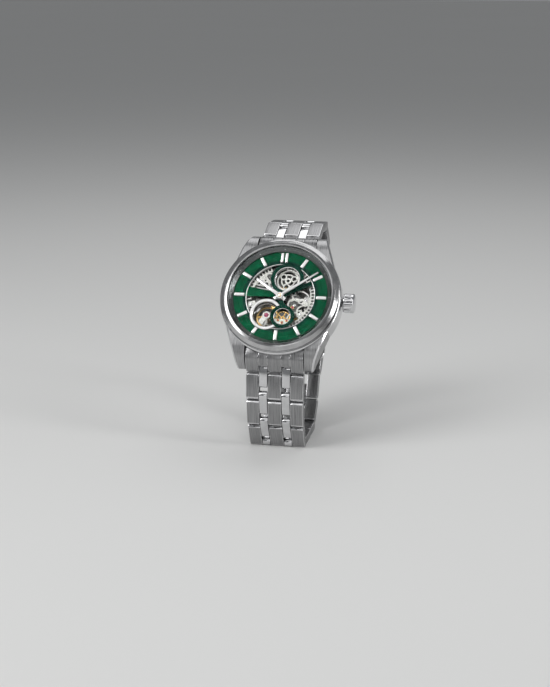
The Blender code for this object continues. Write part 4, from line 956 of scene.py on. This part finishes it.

# %% [markdown]
# ## Jewels and screws
# Pivots run in rubies that are set in gilt rims, and slotted screws hold the bridges. A screw is a turned
# head with a dark strip for its slot, painted shade where the groove would lie in shadow, and each slot
# stands at another angle.

# %% Jewels in their settings
def jewel(name, at, radius, low):
    stone = [(0, low), (radius, low), (radius, low + 0.12), (radius * 0.8, low + 0.19), (0, low + 0.14)]
    rim_view = [(radius + 0.02, low - 0.02), (radius + 0.24, low - 0.02), (radius + 0.24, low + 0.16),
                (radius + 0.02, low + 0.2)]
    piece(name, turned(stone, 28, at), [ruby], "case")
    piece(name + "_setting", turned(rounded(rim_view, 0.05, 2), 32, at), [gilt], "case")


PLATE_TOP = -1.49
jewel("third_jewel", THIRD, 0.42, PLATE_TOP)
jewel("escape_jewel", ESCAPE, 0.36, PLATE_TOP)
jewel("lever_jewel", (-1.0, 2.6), 0.36, PLATE_TOP)
cock_stone = [(0, -1.42), (0.75, -1.42), (0.75, -0.9), (0.62, -0.82), (0, -0.84)]
piece("balance_stone", turned(cock_stone, 36, HEART), [ruby], "case", stands_for=["balance_jewel"])
print("jewels set")


# %% Slotted screws
def screws(name, spots, radius, low):
    view = rounded([(0, low), (radius, low), (radius, low + SCREW_HIGH), (0, low + SCREW_HIGH)], 0.06, 2)
    heads = [turned(view, 24, spot) for spot in spots]
    piece(name, gathered(*heads), [steel_mirror], "case")
    # Each slot is a dark strip laid just over the head: painted shade for the groove, which is not cut.
    slot_shades = []
    for k, (x, y) in enumerate(spots):
        dx, dy = polar((0, 0), radius * 0.86, math.radians(SCREW_TURN * k))
        slot_shades.append(ribbon([(x - dx, y - dy), (x + dx, y + dy)], radius * 0.3, low + 0.1,
                            low + SCREW_HIGH + 0.008))
    piece(name + "_slots", gathered(*slot_shades), [dark_steel], "case")


SCREW_HIGH, SCREW_TURN = 0.22, 37.0
screws("bridge_screws", [(-3.2, 3.4), (2.6, -10.6), (9.4, 4.6), (4.9, -2.5)], 0.48, PLATE_TOP)
screws("plate_screws", [(8.7, -0.6), (7.3, -5.6), (-9.7, -2.8), (-6.9, 5.7), (4.3, 1.5)], 0.46,
       SETTING_TOP - 0.02)
print("screws set")

# %% Painted shade: black discs and strips where wells and gaps in the plates lie in shadow
WELL_LOW, WELL_TOP = -1.3, -1.22
SHADOW_WIDTH, SHADOW_TOP = 0.42, -1.2
SHADED_WELLS = ((7.0, -1.0, 0.55), (9.5, -1.2, 0.32), (7.7, 0.0, 0.3), (8.0, -4.2, 0.5), (6.6, -6.5, 0.38),
         (6.6, -4.9, 0.34), (-9.9, -4.0, 0.42), (-5.4, 4.7, 0.6), (-8.0, 4.9, 0.42), (-6.2, 7.1, 0.42),
         (-5.9, 6.0, 0.3))
SHADOWS = (((5.9, -2.1), (8.2, -2.75)), ((6.1, -3.9), (8.3, -3.2)), ((-9.0, 3.9), (-5.4, 3.3)),
           ((8.9, -2.6), (9.7, -3.9)))
# Each disc and strip is painted shade laid on the plates, not an opening cut in them.
painted_shade_forms = [turned([(0, WELL_LOW), (r, WELL_LOW), (r, WELL_TOP), (0, WELL_TOP)], 24, (x, y))
         for x, y, r in SHADED_WELLS]
painted_shade_forms += [ribbon(line, SHADOW_WIDTH, LEVER_LOW - 0.02, SHADOW_TOP) for line in SHADOWS]
piece("plate_wells", gathered(*painted_shade_forms), [well_shade_paint], "case")
print("painted_shade_forms", len(SHADED_WELLS), "and gaps", len(SHADOWS))

# %% Open cover of the barrel
COVER_LOW, COVER_HIGH = -2.2, -1.72
cover = [band(BARREL, 3.9, 3.25, COVER_LOW, COVER_HIGH, 0.08),
         band(BARREL, 1.1, 0.5, COVER_LOW, COVER_HIGH, 0.06)]
for turn in (20.0, 140.0, 260.0):
    lobe = polar(BARREL, 2.15, math.radians(turn))
    cover.append(band(lobe, 1.15, 0.72, COVER_LOW + 0.03, COVER_HIGH - 0.03, 0.06))
    arc = bow(BARREL, 2.2, turn + 28, turn + 92, 12)
    cover.append(eased(ribbon(arc, 0.5, COVER_LOW + 0.05, COVER_HIGH - 0.06), 0.05, 1))
piece("barrel_cover", gathered(*cover), [plate_silver], "barrel")
print("barrel cover has", len(cover), "forms")

# %% A gilt wheel over the fourth arbor, and its cock
WHEEL_LOW, WHEEL_HIGH = -1.46, -1.2
COCK_LOW, COCK_HIGH = -1.1, -0.9
rim = [band(FOURTH, 2.55, 2.1, WHEEL_LOW, WHEEL_HIGH, 0.05),
       band(FOURTH, 0.7, 0.3, WHEEL_LOW, WHEEL_HIGH, 0.05)]
for k in range(5):
    turn = math.radians(72 * k)
    arm = [polar(FOURTH, 0.6, turn), polar(FOURTH, 2.2, turn)]
    rim.append(eased(ribbon(arm, 0.3, WHEEL_LOW + 0.03, WHEEL_HIGH - 0.03), 0.04, 1))
piece("seconds_wheel", gathered(*rim), [gilt], "fourth")
half_moon = eased(flat(bow(FOURTH, 2.75, 190, 350, 28), COCK_LOW, COCK_HIGH), 0.05, 1)
piece("seconds_cock", half_moon, [plate_silver], "case")
for name, turn in (("left", 212), ("low", 268), ("right", 326)):
    jewel("seconds_jewel_" + name, polar(FOURTH, 1.75, math.radians(turn)), 0.3, COCK_HIGH - 0.01)
print("seconds wheel and cock")

# %% [markdown]
# ## Hairspring and rotor
# The hairspring is one fine tube. Here it is drawn again with many more points, so that it reads as a
# smooth spiral. The rotor is seen through the back and carries straight stripes.

# %% Hairspring
SPRING_IN, SPRING_PITCH, SPRING_TURNS = 0.73, 0.6, 3.75
SPRING_WIRE, SPRING_Z, SPRING_STEPS = 0.06, -2.55, 40
spring_data = bpy.data.curves.new("spiral", "CURVE")
spring_data.dimensions = "3D"
spring_data.bevel_depth = SPRING_WIRE * MM
spring_data.bevel_resolution = 2
spring_data.use_fill_caps = True
count = int(SPRING_TURNS * SPRING_STEPS) + 1
spline = spring_data.splines.new("POLY")
spline.points.add(count - 1)
for k, point in enumerate(spline.points):
    turn = k / SPRING_STEPS
    x, y = polar(HEART, SPRING_IN + SPRING_PITCH * turn, 2 * math.pi * turn)
    point.co = (*(HEAD @ Vector((x * MM, y * MM, SPRING_Z * MM))), 1)
spiral = bpy.data.objects.new("spiral_tool", spring_data)
scene.collection.objects.link(spiral)
spring_mesh = bpy.data.meshes.new_from_object(spiral.evaluated_get(bpy.context.evaluated_depsgraph_get()))
bpy.data.objects.remove(spiral)
spring_blue = polished("blued_spring", (0.05, 0.06, 0.10), (0.10, 0.12, 0.20), (0.18, 0.30), 2000.0)
spring_mesh.materials.clear()
settle("hairspring_spiral", spring_mesh, [spring_blue], "case", Matrix.Identity(4), ["hairspring"],
       60)
print("hairspring points", count)

# %% Rotor
ROTOR_LINES = (520.0, 30.0, 30.0)
rotor_stripes = brushed("striped_rotor", (0.34, 0.34, 0.35), (0.66, 0.66, 0.66), ROTOR_LINES, (0.2, 0.34))
dressed("rotor", rotor_stripes, 0.06, steel_mirror)
print("rotor striped")

# %% [markdown]
# ## Crown
# The crown is fluted so that fingers can grip it, between two plain polished rims. Its radius follows a
# rule of angle and length, so it is made as one grid of points.

# %% Fluted crown
CROWN_R, CROWN_IN, CROWN_OUT, CROWN_Z = 3.2, 20.85, 24.75, -3.4
FLUTES, FLUTE_DEPTH, FLUTE_START, FLUTE_SLOPE = 18, 0.34, 0.30, 0.45
crown_place = HEAD @ Matrix.Translation((0, 0, CROWN_Z * MM)) @ Matrix.Rotation(math.radians(90), 4, "Y")


def flute(turn):
    """How deep the flank is cut at an angle: 0 on a rib, 1 in a groove."""
    wave = 0.5 + 0.5 * math.cos(turn * FLUTES)
    return max(0.0, min(1.0, (wave - FLUTE_START) / FLUTE_SLOPE))


stations = [(CROWN_IN, 1.5, 0), (CROWN_IN, 2.75, 0), (CROWN_IN + 0.15, 3.0, 0), (CROWN_IN + 0.5, 3.08, 0),
            (CROWN_IN + 0.62, CROWN_R, 1), (CROWN_OUT - 1.25, CROWN_R, 1), (CROWN_OUT - 1.13, 3.1, 0),
            (CROWN_OUT - 1.05, 3.22, 0), (CROWN_OUT - 0.5, 3.25, 0), (CROWN_OUT - 0.25, 3.08, 0),
            (CROWN_OUT, 2.55, 0), (CROWN_OUT + 0.08, 1.4, 0)]
crown_form = bmesh.new()
steps = FLUTES * 12
grid = []
for along, radius, fluted in stations:
    ring = []
    for k in range(steps):
        turn = 2 * math.pi * k / steps
        r = radius - FLUTE_DEPTH * fluted * flute(turn)
        ring.append(crown_form.verts.new((*polar((0, 0), r, turn), along)))
    grid.append(ring)
for a, b in zip(grid, grid[1:]):
    for k in range(steps):
        j = (k + 1) % steps
        crown_form.faces.new((a[k], a[j], b[j], b[k]))
for ring, along in ((grid[0], CROWN_IN), (grid[-1], CROWN_OUT + 0.12)):
    middle = crown_form.verts.new((0, 0, along))
    for k in range(steps):
        crown_form.faces.new((ring[k], ring[(k + 1) % steps], middle))
bmesh.ops.recalc_face_normals(crown_form, faces=crown_form.faces)
piece("crown_fluted", crown_form, [steel_mirror], "crown", place=crown_place, stands_for=["crown"],
      sharp=40)
print("crown has", FLUTES, "flutes")

# %% [markdown]
# ## Bracelet
# Each link is a row of three wide brushed blocks, and two narrow polished ones reach back to the row
# before. Their edges have a polished bevel. A second tree lays the five blocks side by side for a given
# width, and the result is placed on the link's own hinge.

# %% Blocks of a link
PITCH, THICK, GAP, CROWN = 9.3, 3.0, 0.25, 0.18
SIDE_SHARE, NARROW_SHARE = 0.225, 0.155
CENTRE_SHARE = 1 - 2 * SIDE_SHARE - 2 * NARROW_SHARE
SIDE_AT, NARROW_AT = 0.5 - SIDE_SHARE / 2, 0.5 - SIDE_SHARE - NARROW_SHARE / 2
MEAN_WIDTH = 18.8
WIDE_PLAY, NARROW_PLAY = 0.06, 0.3


def side_view_block(view, width, ease):
    """A block from its side view in (y, z), centred across, with polished bevels."""
    bm = upright(view, -width / 2, width / 2)
    bmesh.ops.recalc_face_normals(bm, faces=bm.faces)
    return eased(bm, ease, 2, 1, 28.0)


half = THICK / 2
near = half + GAP
first, last = near + 0.5, PITCH + 0.7
crowned = [(last + (first - last) * k / 10, half - CROWN * (k / 5 - 1) ** 2) for k in range(1, 11)]
wide_view = ([(near, -half + 0.2), (near + 0.2, -half)] + bow((PITCH, 0), half, -90, 62, 13) + crowned
             + [(near + 0.1, half - 0.62), (near, half - 0.8)])
narrow_half, narrow_end = half - 0.02, PITCH - near - 1.0
narrow_view = bow((0, 0), narrow_half, 90, 270, 15) + [(narrow_end - 0.55, -narrow_half),
                                                       (narrow_end, 0.4 - narrow_half),
                                                       (narrow_end, narrow_half - 0.6),
                                                       (narrow_end - 0.45, narrow_half - 0.12),
                                                       (narrow_end * 0.5, narrow_half)]
print("block views have", len(wide_view), "and", len(narrow_view), "points")


# %% A tree that lays five blocks side by side
def row_tree():
    sockets = [("Centre", "Object"), ("Side", "Object"), ("Narrow", "Object"), ("Width", "Float"),
               ("Before", "Float"), ("Brushed", "Material"), ("Polished", "Material")]
    tree, given, result = tree_with("bracelet_row", sockets)
    joined = put(tree, "GeometryNodeJoinGeometry")

    def lay(block, offset, width_name):
        info = put(tree, "GeometryNodeObjectInfo", Object=given[block])
        across = put(tree, "ShaderNodeCombineXYZ", X=sum_node(tree, "MULTIPLY", given[width_name], offset))
        share = sum_node(tree, "DIVIDE", given[width_name], MEAN_WIDTH)
        stretch = put(tree, "ShaderNodeCombineXYZ", X=share)
        stretch.inputs["Y"].default_value = 1.0
        stretch.inputs["Z"].default_value = 1.0
        move = put(tree, "GeometryNodeTransform", Geometry=info.outputs["Geometry"],
                   Translation=across.outputs[0], Scale=stretch.outputs[0])
        tree.links.new(move.outputs[0], joined.inputs[0])

    lay("Centre", 0.0, "Width")
    for side in (-1, 1):
        lay("Side", side * SIDE_AT, "Width")
        lay("Narrow", side * NARROW_AT, "Before")
    real = put(tree, "GeometryNodeRealizeInstances", Geometry=joined.outputs[0])
    plain = put(tree, "GeometryNodeSetMaterial", Geometry=real.outputs[0], Material=given["Brushed"])
    shine = put(tree, "GeometryNodeInputNamedAttribute")
    shine.data_type = "BOOLEAN"
    shine.inputs["Name"].default_value = "shine"
    bright = put(tree, "GeometryNodeSetMaterial", Geometry=plain.outputs[0],
                 Selection=shine.outputs["Attribute"], Material=given["Polished"])
    tree.links.new(bright.outputs[0], result)
    return tree


def block(view, width, ease, all_bright):
    """A block as a template, with an attribute that says which faces are polished."""
    thing = template(side_view_block(view, width, ease))
    shine = thing.data.attributes.new("shine", "BOOLEAN", "FACE")
    for face, mark in zip(thing.data.polygons, shine.data):
        end_slope = face.normal.z > 0.1 and abs(face.normal.y) > 0.3
        mark.value = all_bright or end_slope or face.material_index == 1
    return thing


ROW_TREE = row_tree()
centre_block = block(wide_view, MEAN_WIDTH * CENTRE_SHARE - WIDE_PLAY, 0.16, False)
side_block = block(wide_view, MEAN_WIDTH * SIDE_SHARE - WIDE_PLAY, 0.16, False)
narrow_block = block(narrow_view, MEAN_WIDTH * NARROW_SHARE - NARROW_PLAY, 0.18, True)
print("blocks have", [len(b.data.polygons) for b in (centre_block, side_block, narrow_block)], "faces")


# %% Every link on its own hinge
WIDTH_AT_LUG, WIDTH_AT_CLASP = 19.6, 18.0
chains = {"upper": ["upper_hinge_%d" % k for k in range(1, 7)] + ["cover_hinge"],
          "lower": ["lower_hinge_%d" % k for k in range(1, 8)]}
loop_middle = Vector((0, 0.012, 0.034))
faces = 0
for side, hinges in chains.items():
    count = 6 if side == "upper" else 7
    for k in range(count):
        start = Vector(JOINTS[hinges[k]]["pos_m"])
        if k + 1 < len(hinges):
            end = Vector(JOINTS[hinges[k + 1]]["pos_m"])
        else:
            low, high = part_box("lower_link_7")
            end = Vector((0, high.y - half * MM, high.z - half * MM))
        along = (end - start).normalized()
        across = Vector((1, 0, 0))
        out = across.cross(along)
        if out.dot(start + end - 2 * loop_middle) < 0:
            across, out = -across, -out
        place = Matrix.Translation(start) @ Matrix((across, along, out)).transposed().to_4x4()
        step = (WIDTH_AT_CLASP - WIDTH_AT_LUG) / count
        mesh = run_tree(ROW_TREE, {"Centre": centre_block, "Side": side_block, "Narrow": narrow_block,
                                   "Width": WIDTH_AT_LUG + step * (k + 1), "Before": WIDTH_AT_LUG + step * k,
                                   "Brushed": link_brushed, "Polished": steel_mirror})
        name = "%s_link_%d" % (side, k + 1)
        link = settle(name + "_row", mesh, [], name, place @ Matrix.Scale(MM, 4), [name], 30)
        faces += len(link.data.polygons)
for model in (centre_block, side_block, narrow_block):
    bpy.data.objects.remove(model)
print("links have", faces, "faces")

# %% [markdown]
# ## End links and clasp
# The end links fill the gap between case and bracelet. They look like one more row, so they are made of the
# same five columns, whose roots are hidden in the case wall. The clasp has a brushed cover, polished leaves
# and two push pieces.

# %% End links and clasp
FIRST_PIN = (23.1, -6.6)
END_ROOT, COLUMN_PLAY = 17.2, 0.1
end_back = [(23.3, -4.1), (22.3, -2.65), (21.2, -1.85), (19.5, -1.5), (END_ROOT, -1.35)]
end_wide = [(END_ROOT, FIRST_PIN[1])] + bow(FIRST_PIN, half, -100, 42, 12) + end_back
end_narrow = [(END_ROOT, FIRST_PIN[1]), (21.2, -6.6), (21.45, -5.7), (22.1, -5.0), (22.9, -4.7)] + end_back
columns = [(0.0, CENTRE_SHARE, end_wide)]
for side in (-1, 1):
    columns.append((side * SIDE_AT, SIDE_SHARE, end_wide))
    columns.append((side * NARROW_AT, NARROW_SHARE, end_narrow))
for name, turn in (("upper_end_link", 0), ("lower_end_link", 180)):
    blocks = []
    for offset, share, view in columns:
        form = side_view_block(view, WIDTH_AT_LUG * share - COLUMN_PLAY, 0.12)
        bmesh.ops.translate(form, verts=form.verts, vec=(WIDTH_AT_LUG * offset, 0, 0))
        blocks.append(form)
    piece(name + "_columns", gathered(*blocks), [link_brushed, steel_mirror], "case",
          place=head_turn(turn), stands_for=[name])
dressed("clasp_cover", link_brushed, 0.14, steel_mirror)
for name in ("clasp_outer_blade", "clasp_inner_blade", "clasp_button_left", "clasp_button_right"):
    dressed(name, steel_mirror, 0.1)
print("clasp and end links dressed")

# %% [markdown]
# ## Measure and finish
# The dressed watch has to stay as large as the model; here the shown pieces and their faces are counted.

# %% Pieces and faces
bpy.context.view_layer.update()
shown = [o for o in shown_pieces() if o.type == "MESH"]
print("pieces", len(shown), "faces", sum(len(o.data.polygons) for o in shown))
